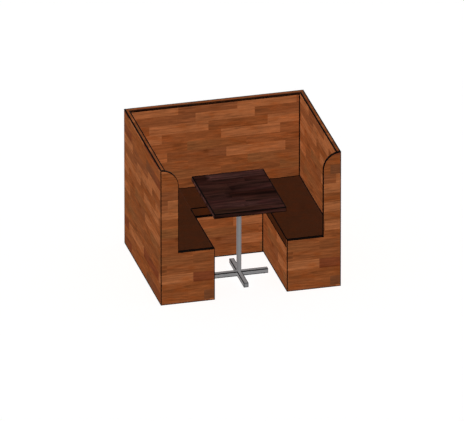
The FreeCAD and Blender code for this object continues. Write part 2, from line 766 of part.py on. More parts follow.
def make_column():
    length = PLATE_UNDER - BAR_TOP
    outer = rod("column_outside", "+z", table_spot(0, 0, BAR_TOP), S.column, length)
    inner = rod("column_inside", "+z", table_spot(0, 0, BAR_TOP),
                S.column - 2 * S.column_wall, length)
    keep(cut("column_tube", outer, [inner]))
    seat = BAR_TOP - S.foot_wall
    nut_low = seat - S.rod_flange_height - S.rod_nut_height
    rod_low = nut_low - S.tie_rod_end
    keep(rod("column_tie_rod", "+z", table_spot(0, 0, rod_low), S.tie_rod, TABLE_UNDER - rod_low))
    nut = hexagon("rod_nut_hexagon", table_spot(0, 0, nut_low), S.rod_nut, S.rod_nut_height)
    flange = rod("rod_nut_flange", "+z", table_spot(0, 0, nut_low + S.rod_nut_height),
                 S.rod_flange, S.rod_flange_height)
    thread = rod("rod_nut_thread", "+z", table_spot(0, 0, nut_low),
                 S.tie_rod + 2 * S.thread_gap, S.rod_nut_height + S.rod_flange_height)
    keep(cut("tie_rod_nut", fuse("rod_nut_blank", [nut, flange]), [thread]))


# The four ends of the cross foot: name, and the direction of its bar as steps along x and y.
FOOT_ENDS = (("left", -1, 0), ("right", 1, 0), ("front", 0, -1), ("back", 0, 1))


def box_about(name, along_x, middle, length, section, low, height):
    """A block centred on a place of the cross foot, with its length along x or y."""
    lengths = (length, section, height) if along_x else (section, length, height)
    spot = table_spot(middle[0] - lengths[0] / 2, middle[1] - lengths[1] / 2, low)
    return block(name, spot, lengths)


def glide_holes(name, ends):
    size = S.glide_stem + 2 * S.thread_gap
    return [rod("%s_%s" % (name, end), "+z",
                table_spot(x * GLIDE_REACH, y * GLIDE_REACH, S.glide_pad_height),
                size, S.foot_wall) for end, x, y in ends]


def square_tube(name, along_x, middle, length):
    """The outside of a square bar and the room inside it."""
    low = S.glide_pad_height
    inside = S.foot_bar - 2 * S.foot_wall
    return (box_about(name + "_outside", along_x, middle, length, S.foot_bar, low, S.foot_bar),
            box_about(name + "_inside", along_x, middle, length, inside, low + S.foot_wall, inside))


def make_foot():
    outer, inner = square_tube("long_bar", True, (0, 0), BAR_LENGTH)
    through = rod("rod_clearance", "+z", table_spot(0, 0, BAR_TOP - S.foot_wall),
                  S.tie_rod + 2 * S.fastener_gap, S.foot_wall)
    access = rod("nut_access", "+z", table_spot(0, 0, S.glide_pad_height), S.access_hole,
                 S.foot_wall)
    holes = glide_holes("long_bar_hole", FOOT_ENDS[:2])
    keep(cut("foot_arm_long", outer, [inner, through, access] + holes))
    short = (BAR_LENGTH - S.foot_bar) / 2
    reach = S.foot_bar / 2 + short / 2
    for end, x, y in FOOT_ENDS[2:]:
        outer, inner = square_tube(end + "_bar", False, (0, y * reach), short)
        holes = glide_holes(end + "_bar_hole", [(end, x, y)])
        keep(cut("foot_arm_" + end, outer, [inner] + holes))


def make_end_caps():
    inside = S.foot_bar - 2 * S.foot_wall - 2 * S.end_cap_gap
    caps = []
    for end, x, y in FOOT_ENDS:
        face = S.foot_span / 2 - S.end_cap / 2
        root = S.foot_span / 2 - S.end_cap - S.end_cap_plug / 2
        low = S.glide_pad_height
        flange = box_about("cap_face_" + end, x != 0, (x * face, y * face), S.end_cap,
                           S.foot_bar, low, S.foot_bar)
        plug = box_about("cap_plug_" + end, x != 0, (x * root, y * root), S.end_cap_plug,
                         inside, low + S.foot_wall + S.end_cap_gap, inside)
        caps.append(fuse("foot_cap_" + end, [flange, plug]))
    keep(group("foot_end_caps", caps))


def make_glides():
    nuts = []
    seat = S.glide_pad_height + S.foot_wall
    stem_top = seat + S.glide_nut_height + S.glide_travel
    for end, x, y in FOOT_ENDS:
        spot = (x * GLIDE_REACH, y * GLIDE_REACH)
        nut = hexagon("glide_hexagon_" + end, table_spot(*spot, seat), S.glide_nut,
                      S.glide_nut_height)
        thread = rod("glide_thread_" + end, "+z", table_spot(*spot, seat),
                     S.glide_stem + 2 * S.thread_gap, S.glide_nut_height)
        nuts.append(cut("glide_nut_" + end, nut, [thread]))
        pad = rod("glide_pad_" + end, "+z", table_spot(*spot, 0), S.glide_pad, S.glide_pad_height)
        stem = rod("glide_stem_" + end, "+z", table_spot(*spot, 0), S.glide_stem, stem_top)
        keep(fuse("glide_" + end, [pad, stem]))
    keep(group("glide_nuts", nuts))


def check_and_write():
    doc.recompute()
    for item in doc.Objects:
        if "Invalid" in item.State or "Error" in item.State:
            raise RuntimeError("%s is %s" % (item.Name, item.State))
    os.makedirs("parts", exist_ok=True)
    for piece in kept:
        shape = piece.Shape
        if shape.isNull() or not shape.isValid() or not shape.Solids:
            raise RuntimeError("%s has no valid solid" % piece.Label)
    for piece in kept:
        piece.Shape.exportStep("parts/%s.step" % piece.Label)
    print("%d nodes, %d solids" % (len(kept), sum(len(piece.Shape.Solids) for piece in kept)))


make_side_walls()
make_back_wall()
make_end_panels()
make_fascias()
make_decks()
make_bearers()
make_ribs()
make_sole_rails_and_levellers()
make_base_fasteners()
make_cushions()
make_table_top()
make_plate()
make_column()
make_foot()
make_end_caps()
make_glides()
check_and_write()
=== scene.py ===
import math

import bmesh
import bpy
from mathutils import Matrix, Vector


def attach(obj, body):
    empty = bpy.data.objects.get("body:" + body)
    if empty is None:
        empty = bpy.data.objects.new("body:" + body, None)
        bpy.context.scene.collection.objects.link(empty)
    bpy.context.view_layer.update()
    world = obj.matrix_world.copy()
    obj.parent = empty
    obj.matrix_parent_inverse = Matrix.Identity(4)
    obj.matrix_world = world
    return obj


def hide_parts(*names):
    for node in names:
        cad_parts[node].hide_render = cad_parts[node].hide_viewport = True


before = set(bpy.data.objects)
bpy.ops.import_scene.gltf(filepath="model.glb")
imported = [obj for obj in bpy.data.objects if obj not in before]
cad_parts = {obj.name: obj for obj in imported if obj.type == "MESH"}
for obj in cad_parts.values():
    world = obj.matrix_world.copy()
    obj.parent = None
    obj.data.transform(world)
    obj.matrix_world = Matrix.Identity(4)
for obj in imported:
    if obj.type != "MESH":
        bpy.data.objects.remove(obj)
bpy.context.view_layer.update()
MM = 0.001


# Colours and materials.

def linear(red, green, blue):
    """A colour given as 0..255 screen values, as the linear values that a shader takes."""
    def one(value):
        share = value / 255
        return share / 12.92 if share <= 0.04045 else ((share + 0.055) / 1.055) ** 2.4
    return (one(red), one(green), one(blue), 1.0)


def palette(**colours):
    return {name: linear(*colour) for name, colour in colours.items()}


class Nodes:
    """The nodes of a material or a world, with short calls for the kinds that are used here."""

    def __init__(self, owner):
        owner.use_nodes = True
        self.tree = owner.node_tree

    def node(self, kind, inputs=None, **settings):
        made = self.tree.nodes.new("ShaderNode" + kind)
        for key, value in settings.items():
            setattr(made, key, value)
        for socket, value in (inputs or {}).items():
            self.set(made, socket, value)
        return made

    def set(self, node, socket, value):
        """Links an output to a socket, or sets the socket's own value."""
        target = node.inputs[socket]
        if isinstance(value, bpy.types.NodeSocket):
            self.tree.links.new(value, target)
        else:
            target.default_value = value

    def math(self, kind, first, second=0.0):
        return self.node("Math", {0: first, 1: second}, operation=kind).outputs[0]

    def remap(self, value, low, high, to_low=0.0, to_high=1.0, smooth=False):
        values = dict(enumerate((value, low, high, to_low, to_high)))
        kind = "SMOOTHSTEP" if smooth else "LINEAR"
        return self.node("MapRange", values, interpolation_type=kind).outputs[0]


class Shader(Nodes):
    """A material under construction round one Principled shader."""

    def __init__(self, name, metallic=0.0):
        self.material = bpy.data.materials.new(name)
        super().__init__(self.material)
        self.surface = self.tree.nodes["Principled BSDF"]
        self.set(self.surface, "Metallic", metallic)

    def attribute(self, name, output="Vector"):
        return self.node("Attribute", attribute_name=name).outputs[output]

    def place(self):
        """Places on the piece in metres, in the frame."""
        return self.node("TexCoord").outputs["Object"]

    def stretch(self, vector, scale):
        return self.node("VectorMath", {0: vector, 1: scale}, operation="MULTIPLY").outputs[0]

    def noise(self, vector, scale, detail=2.0, rough=0.5, warp=0.0):
        """Noise over a place, with one scale or one for each axis."""
        if isinstance(scale, tuple):
            vector, scale = self.stretch(vector, scale), 1.0
        values = {"Vector": vector, "Scale": scale, "Detail": detail, "Roughness": rough, "Distortion": warp}
        return self.node("TexNoise", values).outputs["Fac"]

    def vary(self, noise, low, high):
        """A noise, which lies mostly between 0.3 and 0.7, as a number between low and high."""
        return self.remap(noise, 0.3, 0.7, low, high)

    def cells(self, vector, scale, feature="F1", output="Distance"):
        return self.node("TexVoronoi", {"Vector": vector, "Scale": scale}, feature=feature).outputs[output]

    def mix(self, factor, first, second, blend="MIX"):
        inputs = {0: factor, 6: first, 7: second}
        return self.node("Mix", inputs, data_type="RGBA", blend_type=blend).outputs[2]

    def shade(self, colour, value):
        """The colour times a single number."""
        inputs = {0: colour[:3] if isinstance(colour, tuple) else colour, "Scale": value}
        return self.node("VectorMath", inputs, operation="SCALE").outputs[0]

    def bump(self, height, distance, strength):
        inputs = {"Height": height, "Distance": distance, "Strength": strength}
        return self.node("Bump", inputs).outputs[0]

    def finish(self, colour, normal, roughness, shine=None):
        self.set(self.surface, "Base Color", colour)
        self.set(self.surface, "Normal", normal)
        self.set(self.surface, "Roughness", roughness)
        if shine is not None:
            self.set(self.surface, "Specular IOR Level", shine)
        return self.material


def make_lacquered_strips(name, warm, warm_share, figure, banding, knots, pore_depth, gloss, shine):
    """Laminated wood: the tone of each stave comes with the mesh, and the grain runs along it."""
    s = Shader(name)
    grain = s.attribute("grain")
    bands = s.noise(grain, (2.6, 24.0, 24.0), warp=0.5)
    streaks = s.noise(grain, (5.0, 62.0, 62.0), 4.0, 0.62, 0.5)
    fibres = s.noise(grain, (18.0, 420.0, 420.0), 3.0, 0.6)
    clouds = s.noise(grain, (7.0, 16.0, 16.0), warp=0.4)
    pores = s.noise(grain, (70.0, 1300.0, 1300.0), 1.0)
    pore_mask = s.remap(pores, 0.60, 0.72)
    warmth = s.remap(clouds, 0.45, 0.75, 0.0, warm_share, True)
    tone = s.mix(warmth, s.attribute("tone", "Color"), warm, "MULTIPLY")
    level = s.math("MULTIPLY", s.vary(streaks, 1.0 - figure, 1.0 + figure), s.vary(fibres, 0.80, 1.20))
    level = s.math("MULTIPLY", level, s.vary(bands, 1.0 - banding, 1.0 + banding))
    level = s.math("MULTIPLY", level, s.remap(pore_mask, 0.0, 1.0, 1.0, 1.0 - pore_depth))
    knot = s.node("VectorMath", {0: s.attribute("knot")}, operation="LENGTH")
    near = s.math("ADD", knot.outputs["Value"], s.vary(fibres, -0.25, 0.25))
    level = s.math("MULTIPLY", level, s.remap(near, 0.2, 1.3, 1.0 - knots, 1.0, True))
    height = s.math("SUBTRACT", s.remap(fibres, 0.2, 0.8, 0.0, 0.4), pore_mask)
    return s.finish(s.shade(tone, level), s.bump(height, 0.0004, 0.25),
                    s.vary(streaks, gloss - 0.05, gloss + 0.07), shine)


def make_dark_edge(name, colour, worn):
    """Stained and rubbed arrises, a little lighter where hands and trays have worn them. Where a board lays
    this band in an inner corner or along the floor, its dark is painted shade as well as stain.
    """
    s = Shader(name)
    wear = s.noise(s.place(), 23.0, 4.0, 0.6)
    fibres = s.noise(s.place(), (300.0, 300.0, 300.0))
    tone = s.mix(s.remap(wear, 0.58, 0.80, 0.0, 0.6, True), colour, worn)
    return s.finish(s.shade(tone, s.vary(fibres, 0.8, 1.2)), s.bump(fibres, 0.0003, 0.2),
                    roughness=0.6, shine=0.005)


def make_leather(name, colour, mottle, pebble):
    """Finished hide: mottled colour, a pebbled grain with fine creases, and a soft sheen."""
    s = Shader(name)
    place = s.place()
    drift = s.node("TexNoise", {"Vector": place, "Scale": 60.0}).outputs["Color"]
    inputs = {0: drift, 1: (0.0016, 0.0016, 0.0016), 2: place}
    warped = s.node("VectorMath", inputs, operation="MULTIPLY_ADD").outputs[0]
    grain = s.cells(warped, pebble, "DISTANCE_TO_EDGE")
    creases = s.noise(place, 160.0, 5.0, 0.65, 0.8)
    patches = s.noise(place, 11.0, 3.0, 0.6, 0.5)
    small = s.noise(place, 48.0)
    tone = s.mix(s.remap(patches, 0.42, 0.66, 0.0, 0.8, True), colour, mottle)
    level = s.math("MULTIPLY", s.vary(small, 0.92, 1.08), s.remap(grain, 0.0, 0.12, 0.80, 1.04))
    height = s.math("ADD", s.remap(grain, 0.0, 0.22), s.math("MULTIPLY", creases, 0.55))
    return s.finish(s.shade(tone, level), s.bump(height, 0.0006, 0.30),
                    s.remap(patches, 0.35, 0.7, 0.5, 0.64), shine=0.006)


def make_piping(name, colour):
    """The same hide, dyed dark and drawn tight over a cord."""
    s = Shader(name)
    grain = s.cells(s.place(), 900.0, "DISTANCE_TO_EDGE")
    tone = s.shade(colour, s.remap(grain, 0.0, 0.12, 0.75, 1.05))
    return s.finish(tone, s.bump(s.remap(grain, 0.0, 0.2), 0.0003, 0.3), roughness=0.55, shine=0.002)


def make_powder_coat(name, colour, roughness):
    """Baked powder paint: a fine orange-peel surface and faint handling marks."""
    s = Shader(name)
    peel = s.noise(s.place(), 420.0)
    marks = s.noise(s.place(), 14.0, 5.0, 0.65)
    tone = s.shade(colour, s.vary(marks, 0.94, 1.05))
    return s.finish(tone, s.bump(peel, 0.0004, 0.22),
                    s.vary(marks, roughness - 0.06, roughness + 0.08), shine=0.1)


def make_plain_wood(name, light, dark, roughness):
    """Unseen timber: ring lines and fibres stretched along the Z axis."""
    s = Shader(name)
    squeeze = (140.0, 140.0, 6.0)
    rings = s.noise(s.place(), squeeze, 3.0, 0.6, 1.2)
    fibres = s.noise(s.place(), tuple(4.0 * v for v in squeeze))
    tone = s.mix(s.remap(rings, 0.38, 0.64, 0.0, 1.0, True), light, dark)
    return s.finish(s.shade(tone, s.vary(fibres, 0.92, 1.07)), s.bump(fibres, 0.0004, 0.3),
                    roughness, shine=0.08)


def make_plywood(name):
    """Birch plywood: pale faces with soft figure, and darker glue lines through the thickness."""
    s = Shader(name)
    place = s.place()
    figure = s.noise(place, (5.0, 22.0, 5.0), 4.0, 0.6, 1.5)
    tone = s.mix(s.remap(figure, 0.35, 0.65, 0.0, 1.0, True), linear(196, 166, 124), linear(174, 138, 94))
    plies = s.node("TexWave", {"Vector": place, "Scale": 100.0}, wave_type="BANDS", bands_direction="Z")
    upright = s.node("SeparateXYZ", {0: s.node("NewGeometry").outputs["Normal"]})
    side = s.remap(s.math("ABSOLUTE", upright.outputs["Z"]), 0.3, 0.7, 1.0, 0.0)
    glue = s.math("MULTIPLY", side, s.remap(plies.outputs["Fac"], 0.55, 0.9, 0.0, 0.55))
    tone = s.mix(glue, tone, linear(92, 60, 36))
    return s.finish(tone, s.bump(figure, 0.0003, 0.2), roughness=0.62, shine=0.08)


def make_zinc(name):
    """Bright zinc plating with the faint crystal pattern and stains of stock hardware."""
    s = Shader(name, metallic=1.0)
    crystals = s.cells(s.place(), 260.0, "F1", "Color")
    level = s.node("RGBToBW", {0: crystals})
    stain = s.noise(s.place(), 35.0, 3.0)
    tone = s.shade(linear(186, 188, 190), s.remap(level.outputs[0], 0.0, 1.0, 0.9, 1.08))
    return s.finish(
        s.mix(s.remap(stain, 0.5, 0.75, 0.0, 0.35), tone, linear(150, 140, 120)),
        s.bump(stain, 0.0002, 0.2), s.vary(stain, 0.28, 0.42))


def make_plastic(name, colour, roughness):
    """Moulded plastic with a fine spark-eroded texture."""
    s = Shader(name)
    spark = s.noise(s.place(), 1100.0, 2.0, 0.6)
    scuff = s.noise(s.place(), 40.0, 4.0, 0.7)
    tone = s.shade(colour, s.remap(scuff, 0.35, 0.7, 0.9, 1.12))
    return s.finish(tone, s.bump(spark, 0.0002, 0.35),
                    s.vary(scuff, roughness - 0.05, roughness + 0.08))


STRIP = make_lacquered_strips(
    "strip_wood_lacquered", linear(255, 231, 198), warm_share=0.7, figure=0.34, banding=0.05, knots=0.34,
    pore_depth=0.28, gloss=0.66, shine=0.005)
TABLE_WOOD = make_lacquered_strips(
    "table_wood_lacquered", linear(255, 214, 220), warm_share=0.6, figure=0.62, banding=0.62, knots=0.50,
    pore_depth=0.34, gloss=0.62, shine=0.003)
# The booth's dark band: stain on outer arrises, painted shade as well as stain in inner corners and along
# the floor.
EDGE = make_dark_edge("dark_stain_and_painted_shade_edge", linear(8, 5, 4), linear(46, 26, 16))
TABLE_EDGE = make_dark_edge("table_stained_edge", linear(5, 4, 4), linear(32, 19, 16))
LEATHER = make_leather("seat_leather_hide", linear(59, 30, 14), linear(66, 31, 12), pebble=620.0)
PIPING = make_piping("seat_piping_hide", linear(5, 4, 4))
WORN = make_powder_coat("pedestal_worn_arris", linear(15, 15, 16), 0.55)
# Dark plastic for the foot caps' rims; where a rim meets its tube, the dark is painted shade of the joint.
CAP_RIM = make_plastic("dark_cap_rim", linear(26, 26, 27), 0.55)
POWDER = make_powder_coat("pedestal_powder_coat", linear(129, 129, 130), 0.5)
CAD_FINISHES = {
    "strip_wood": STRIP,
    "plywood": make_plywood("birch_plywood"),
    "softwood": make_plain_wood("planed_softwood", linear(200, 164, 112), linear(172, 126, 74), 0.7),
    "beech": make_plain_wood("turned_beech", linear(196, 152, 106), linear(176, 126, 82), 0.55),
    "seat_leather": LEATHER,
    "table_wood": TABLE_WOOD,
    "pedestal_metal": POWDER,
    "cap_plastic": make_plastic("grey_cap_plastic", linear(118, 118, 119), 0.5),
    "foot_plastic": make_plastic("black_foot_plastic", linear(30, 30, 31), 0.5),
    "zinc_steel": make_zinc("zinc_plated_steel"),
}


# How the staves lie on the boards.

# One square of strip board repeats on every face: twelve rows, with two staves in each.
# A row gives where its first joint is, and for each of its staves the tone at its left and right end.
ROW = 82.5
STAVE = 495.0
TOP_ROW = 1200.0
TONES = palette(
    light=(146, 87, 51), amber=(127, 70, 36), mid=(128, 72, 39), rose=(123, 70, 40), umber=(119, 67, 36),
    olive=(120, 73, 41), grey=(106, 63, 38), red=(112, 57, 32))
STRIP_ROWS = (
    (440, ("rose", "rose"), ("light", "light")),
    (90, ("umber", "rose"), ("light", "light")),
    (198, ("light", "light"), ("umber", "amber")),
    (303, ("mid", "amber"), ("light", "light")),
    (20, ("mid", "amber"), ("olive", "amber")),
    (347, ("umber", "rose"), ("light", "light")),
    (30, ("olive", "mid"), ("mid", "amber")),
    (301, ("olive", "mid"), ("umber", "umber")),
    (82, ("mid", "umber"), ("mid", "mid")),
    (302, ("light", "light"), ("red", "red")),
    (45, ("mid", "mid"), ("amber", "amber")),
    (392, ("mid", "amber"), ("grey", "red")),
)
# Dark figure: row, distance along the tile, drop from the row's top edge, half length and half height.
STRIP_KNOTS = ((4, 430, 24, 42, 11), (5, 672, 20, 32, 14), (10, 747, 34, 34, 10), (8, 535, 46, 46, 14))

# The table top is glued up the same way, from the back edge forward: depth of the row, then its
# staves as where each starts and its tones. The last row is the front edge.
TABLE_TONES = palette(
    black=(31, 13, 9), dusk=(35, 16, 12), umber=(38, 19, 15), claret=(41, 22, 18), wine=(44, 24, 19),
    bark=(44, 26, 18), plum=(49, 28, 24), rose=(54, 31, 28), mauve=(59, 36, 33), pale=(65, 42, 38),
    lip=(51, 28, 23), pale_lip=(64, 40, 35))
TABLE_END_GRAIN = linear(60, 39, 35)
TABLE_ROWS = (
    (112, ((-300, "dusk", "dusk"), (-204, "dusk", "pale"), (-166, "pale", "rose"))),
    (86, ((-300, "umber", "claret"), (100, "claret", "claret"))),
    (88, ((-300, "claret", "wine"), (-60, "claret", "plum"))),
    (88, ((-300, "wine", "wine"), (-112, "wine", "umber"), (-52, "umber", "rose"))),
    (97, ((-300, "wine", "plum"), (-126, "plum", "black"), (-78, "black", "black"))),
    (96, ((-300, "rose", "plum"), (10, "wine", "umber"))),
    (88, ((-300, "plum", "mauve"), (-20, "mauve", "rose"))),
    (94.5, ((-300, "bark", "wine"), (60, "wine", "plum"))),
    (0.5, ((-300, "lip", "wine"), (-60, "wine", "lip"), (90, "lip", "pale_lip"))),
)
# Dark figure: row, distance along the top, drop from the row's back edge, half length and half depth.
TABLE_KNOTS = ((4, -214, 34, 44, 13), (1, -60, 30, 130, 14), (2, 10, 74, 110, 16),
               (3, -20, 30, 120, 15), (4, 190, 74, 120, 26), (7, -170, 40, 130, 12))
TABLE_X, TABLE_BACK = 300.0, 160.0

# Where the frame's origin lies in the pattern of staves on each board, as (u, v).
LAID = {
    "left_wall_outer_skin": (752.0, 191.5), "right_wall_outer_skin": (905.0, 191.5),
    "left_wall_inner_skin": (1180.0, 0.0), "right_wall_inner_skin": (724.0, 0.0),
    "back_wall_outer_skin": (1482.0, 191.5), "back_wall_inner_skin": (750.0, 0.0),
    "left_end_panel": (1277.0, 191.5), "right_end_panel": (227.0, 191.5),
    "left_fascia": (1010.0, 562.5), "right_fascia": (525.0, 562.5), "back_fascia": (750.0, 604.0),
    "left_wall_cap": (726.0, 796.0), "right_wall_cap": (726.0, 796.0), "back_wall_cap": (732.0, 796.0),
    "table_top": (0.0, 0.0),
}

# On a board, u runs along the grain, v across it and w into the board. For each way that its show
# face can look, the ways that u, v and w run in the frame.
DIRECTIONS = {
    "-Y": ((1, 0, 0), (0, 0, 1), (0, 1, 0)),
    "+Y": ((-1, 0, 0), (0, 0, 1), (0, -1, 0)),
    "-X": ((0, -1, 0), (0, 0, 1), (1, 0, 0)),
    "+X": ((0, 1, 0), (0, 0, 1), (-1, 0, 0)),
    "+Z": ((1, 0, 0), (0, 1, 0), (0, 0, -1)),
    "+Z turned": ((-1, 0, 0), (0, -1, 0), (0, 0, -1)),
}


class Face:
    """A board's show face: which way it looks, its place on that axis, and the (u, v) of the frame's
    origin in the pattern of staves."""

    def __init__(self, looks, at, along, up):
        self.ways = DIRECTIONS[looks]
        self.axis = "XYZ".index(looks[1])
        self.at, self.along, self.up = at, along, up

    def to_frame(self, u, v, w):
        """A place on the board in mm, as a point in metres."""
        place = (u - self.along, v - self.up, w)
        point = [sum(way[axis] * value for way, value in zip(self.ways, place)) for axis in range(3)]
        return Vector([value + abs(way) * self.at for value, way in zip(point, self.ways[2])]) * MM

    def to_board(self, corner):
        """A corner of the face, in mm along the other two axes, as (u, v)."""
        point = list(corner)
        point.insert(self.axis, self.at)
        u, v = (sum(way * value for way, value in zip(ways, point)) for ways in self.ways[:2])
        return u + self.along, v + self.up


def strip_layout(u, v):
    """The stave at a place: its key, where it starts, its length, its tones and its knot."""
    line = math.floor((TOP_ROW - v) / ROW)
    first, odd, even = STRIP_ROWS[line % len(STRIP_ROWS)]
    count = math.floor((u - first) / STAVE)
    start = first + count * STAVE
    tones = (odd, even)[count % 2]
    knot = None
    for row, along, drop, half_long, half_high in STRIP_KNOTS:
        here = along + 2 * STAVE * math.floor((start + STAVE - along) / (2 * STAVE))
        if row == line % len(STRIP_ROWS) and start <= here < start + STAVE:
            knot = (here, TOP_ROW - line * ROW - drop, half_long, half_high)
    return (line, count), start, STAVE, [TONES[t] for t in tones], knot


def strip_cuts(u_low, u_high, v_low, v_high):
    """The lines between rows, and in each row the lines between staves."""
    rows = []
    first_line = math.floor((TOP_ROW - v_high) / ROW)
    last_line = math.ceil((TOP_ROW - v_low) / ROW)
    for line in range(first_line, last_line):
        first = STRIP_ROWS[line % len(STRIP_ROWS)][0]
        begin = math.ceil((u_low - first) / STAVE)
        end = math.floor((u_high - first) / STAVE)
        joints = [first + n * STAVE for n in range(begin, end + 1)]
        rows.append((TOP_ROW - (line + 1) * ROW, TOP_ROW - line * ROW, joints))
    return rows


def table_row_tops():
    tops, y = [], TABLE_BACK
    for depth, _ in TABLE_ROWS:
        tops.append(y)
        y -= depth
    return tops + [y]


def table_layout(u, v):
    tops = table_row_tops()
    line = next(i for i in range(len(TABLE_ROWS)) if v >= tops[i + 1] or i == len(TABLE_ROWS) - 1)
    staves = TABLE_ROWS[line][1]
    index = max(i for i, (start, _, _) in enumerate(staves) if u >= start or i == 0)
    start, left, right = staves[index]
    end = staves[index + 1][0] if index + 1 < len(staves) else TABLE_X
    knots = [(abs(along - (start + end) / 2), (along, tops[line] - drop, half_long, half_high))
             for row, along, drop, half_long, half_high in TABLE_KNOTS if row == line]
    knot = min(knots)[1] if knots else None
    return (line, index), start, end - start, [TABLE_TONES[left], TABLE_TONES[right]], knot


def table_cuts(*_):
    """The same lines of the table top, which is glued up for its own size."""
    tops = table_row_tops()
    return [(tops[i + 1], tops[i], [start for start, _, _ in TABLE_ROWS[i][1][1:]])
            for i in range(len(TABLE_ROWS))]


# Boards made of staves.

LEAST_EDGE = 0.02    # shorter edges, in mm, that a bevel or a cut leaves behind are dissolved
CUT_SLACK = 1e-5    # a corner this near a cut, in mm, counts as on it
LEAST_TURN = math.radians(20)    # where a board's outline turns by less, as round an arc, no edge is eased
ARRIS_EASE, SQUARE_PROFILE, ROUND_PROFILE = 2.0, 1.0, 0.5
FACING = 0.9    # how much of its normal a face has along an axis to count as looking that way
TOUCH = 0.6    # how near, in mm, an edge lies to the place by which it is chosen
ROW_SHIFT, STAVE_SHIFT = (0.61, 0.011, 0.217), (1.37, 0.353, 0.5)    # so that no two staves share a grain
FAR_FROM_KNOT = (9.0, 9.0, 9.0)


def add_object(name, data):
    made = bpy.data.objects.new(name, data)
    bpy.context.scene.collection.objects.link(made)
    return made


def to_object(name, bm, *materials):
    """The finished mesh as an object, shaded smooth."""
    for f in bm.faces:
        f.smooth = True
    mesh = bpy.data.meshes.new(name)
    bm.to_mesh(mesh)
    bm.free()
    for material in materials:
        mesh.materials.append(material)
    return add_object(name, mesh)


def declare(piece, body, replaced):
    """Says what a piece rides on and which nodes it stands for, and hides those nodes."""
    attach(piece, body)
    if replaced:
        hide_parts(*replaced)


def cut_along(bm, faces, place, normal):
    edges = {e for f in faces for e in f.edges}
    verts = {v for f in faces for v in f.verts}
    bmesh.ops.bisect_plane(bm, geom=list(faces) + list(edges) + list(verts), dist=CUT_SLACK,
                           plane_co=place, plane_no=normal)


def cut_into_staves(bm, cuts):
    """Cuts the solid along the rows, and each row along its own joints."""
    for low, _, _ in cuts:
        cut_along(bm, bm.faces[:], (0, low, 0), (0, 1, 0))
    for low, high, joints in cuts:
        for joint in joints:
            row = [f for f in bm.faces if low < f.calc_center_median().y < high]
            if row:
                cut_along(bm, row, (joint, 0, 0), (1, 0, 0))


def from_knot(u, v, knot):
    """A place as seen from the middle of a knot, in its half lengths and half heights."""
    if knot is None:
        return FAR_FROM_KNOT
    along, up, half_long, half_high = knot
    return (u - along) / half_long, (v - up) / half_high, 0.0


def dress_staves(bm, layout, end_grain):
    """Stores each corner's place along the grain, its tone and its place by the nearest knot."""
    grain = bm.loops.layers.float_vector.new("grain")
    tone = bm.loops.layers.float_color.new("tone")
    by_knot = bm.loops.layers.float_vector.new("knot")
    for face in bm.faces:
        middle = face.calc_center_median()
        (line, count), start, length, (left, right), knot = layout(middle.x, middle.y)
        if end_grain and abs(face.normal.x) > FACING:
            left = right = end_grain
        shift = Vector([a * line + b * count for a, b in zip(ROW_SHIFT, STAVE_SHIFT)])
        for loop in face.loops:
            u, v, w = loop.vert.co
            share = min(1.0, max(0.0, (u - start) / length))
            loop[grain] = Vector((u - start, v, w)) * MM + shift
            loop[tone] = [a + (b - a) * share for a, b in zip(left, right)]
            loop[by_knot] = from_knot(u, v, knot)


def dark_bands(bm, chosen, band):
    """Marks a dark band on both sides of each chosen edge, and rounds the edge itself. The band is stain on
    outer arrises, and painted shade as well as stain on inner corners and at the floor.
    """
    def bevel(edges, offset, profile):
        for f in bmesh.ops.bevel(bm, geom=edges, offset=offset, offset_type="OFFSET", segments=2,
                                 profile=profile, affect="EDGES", clamp_overlap=True)["faces"]:
            f.material_index = 1

    bevel([e for e in bm.edges if chosen(e)], band, SQUARE_PROFILE)
    sharp = [e for e in bm.edges if chosen(e) and all(f.material_index == 1 for f in e.link_faces)]
    bevel(sharp, ARRIS_EASE, ROUND_PROFILE)


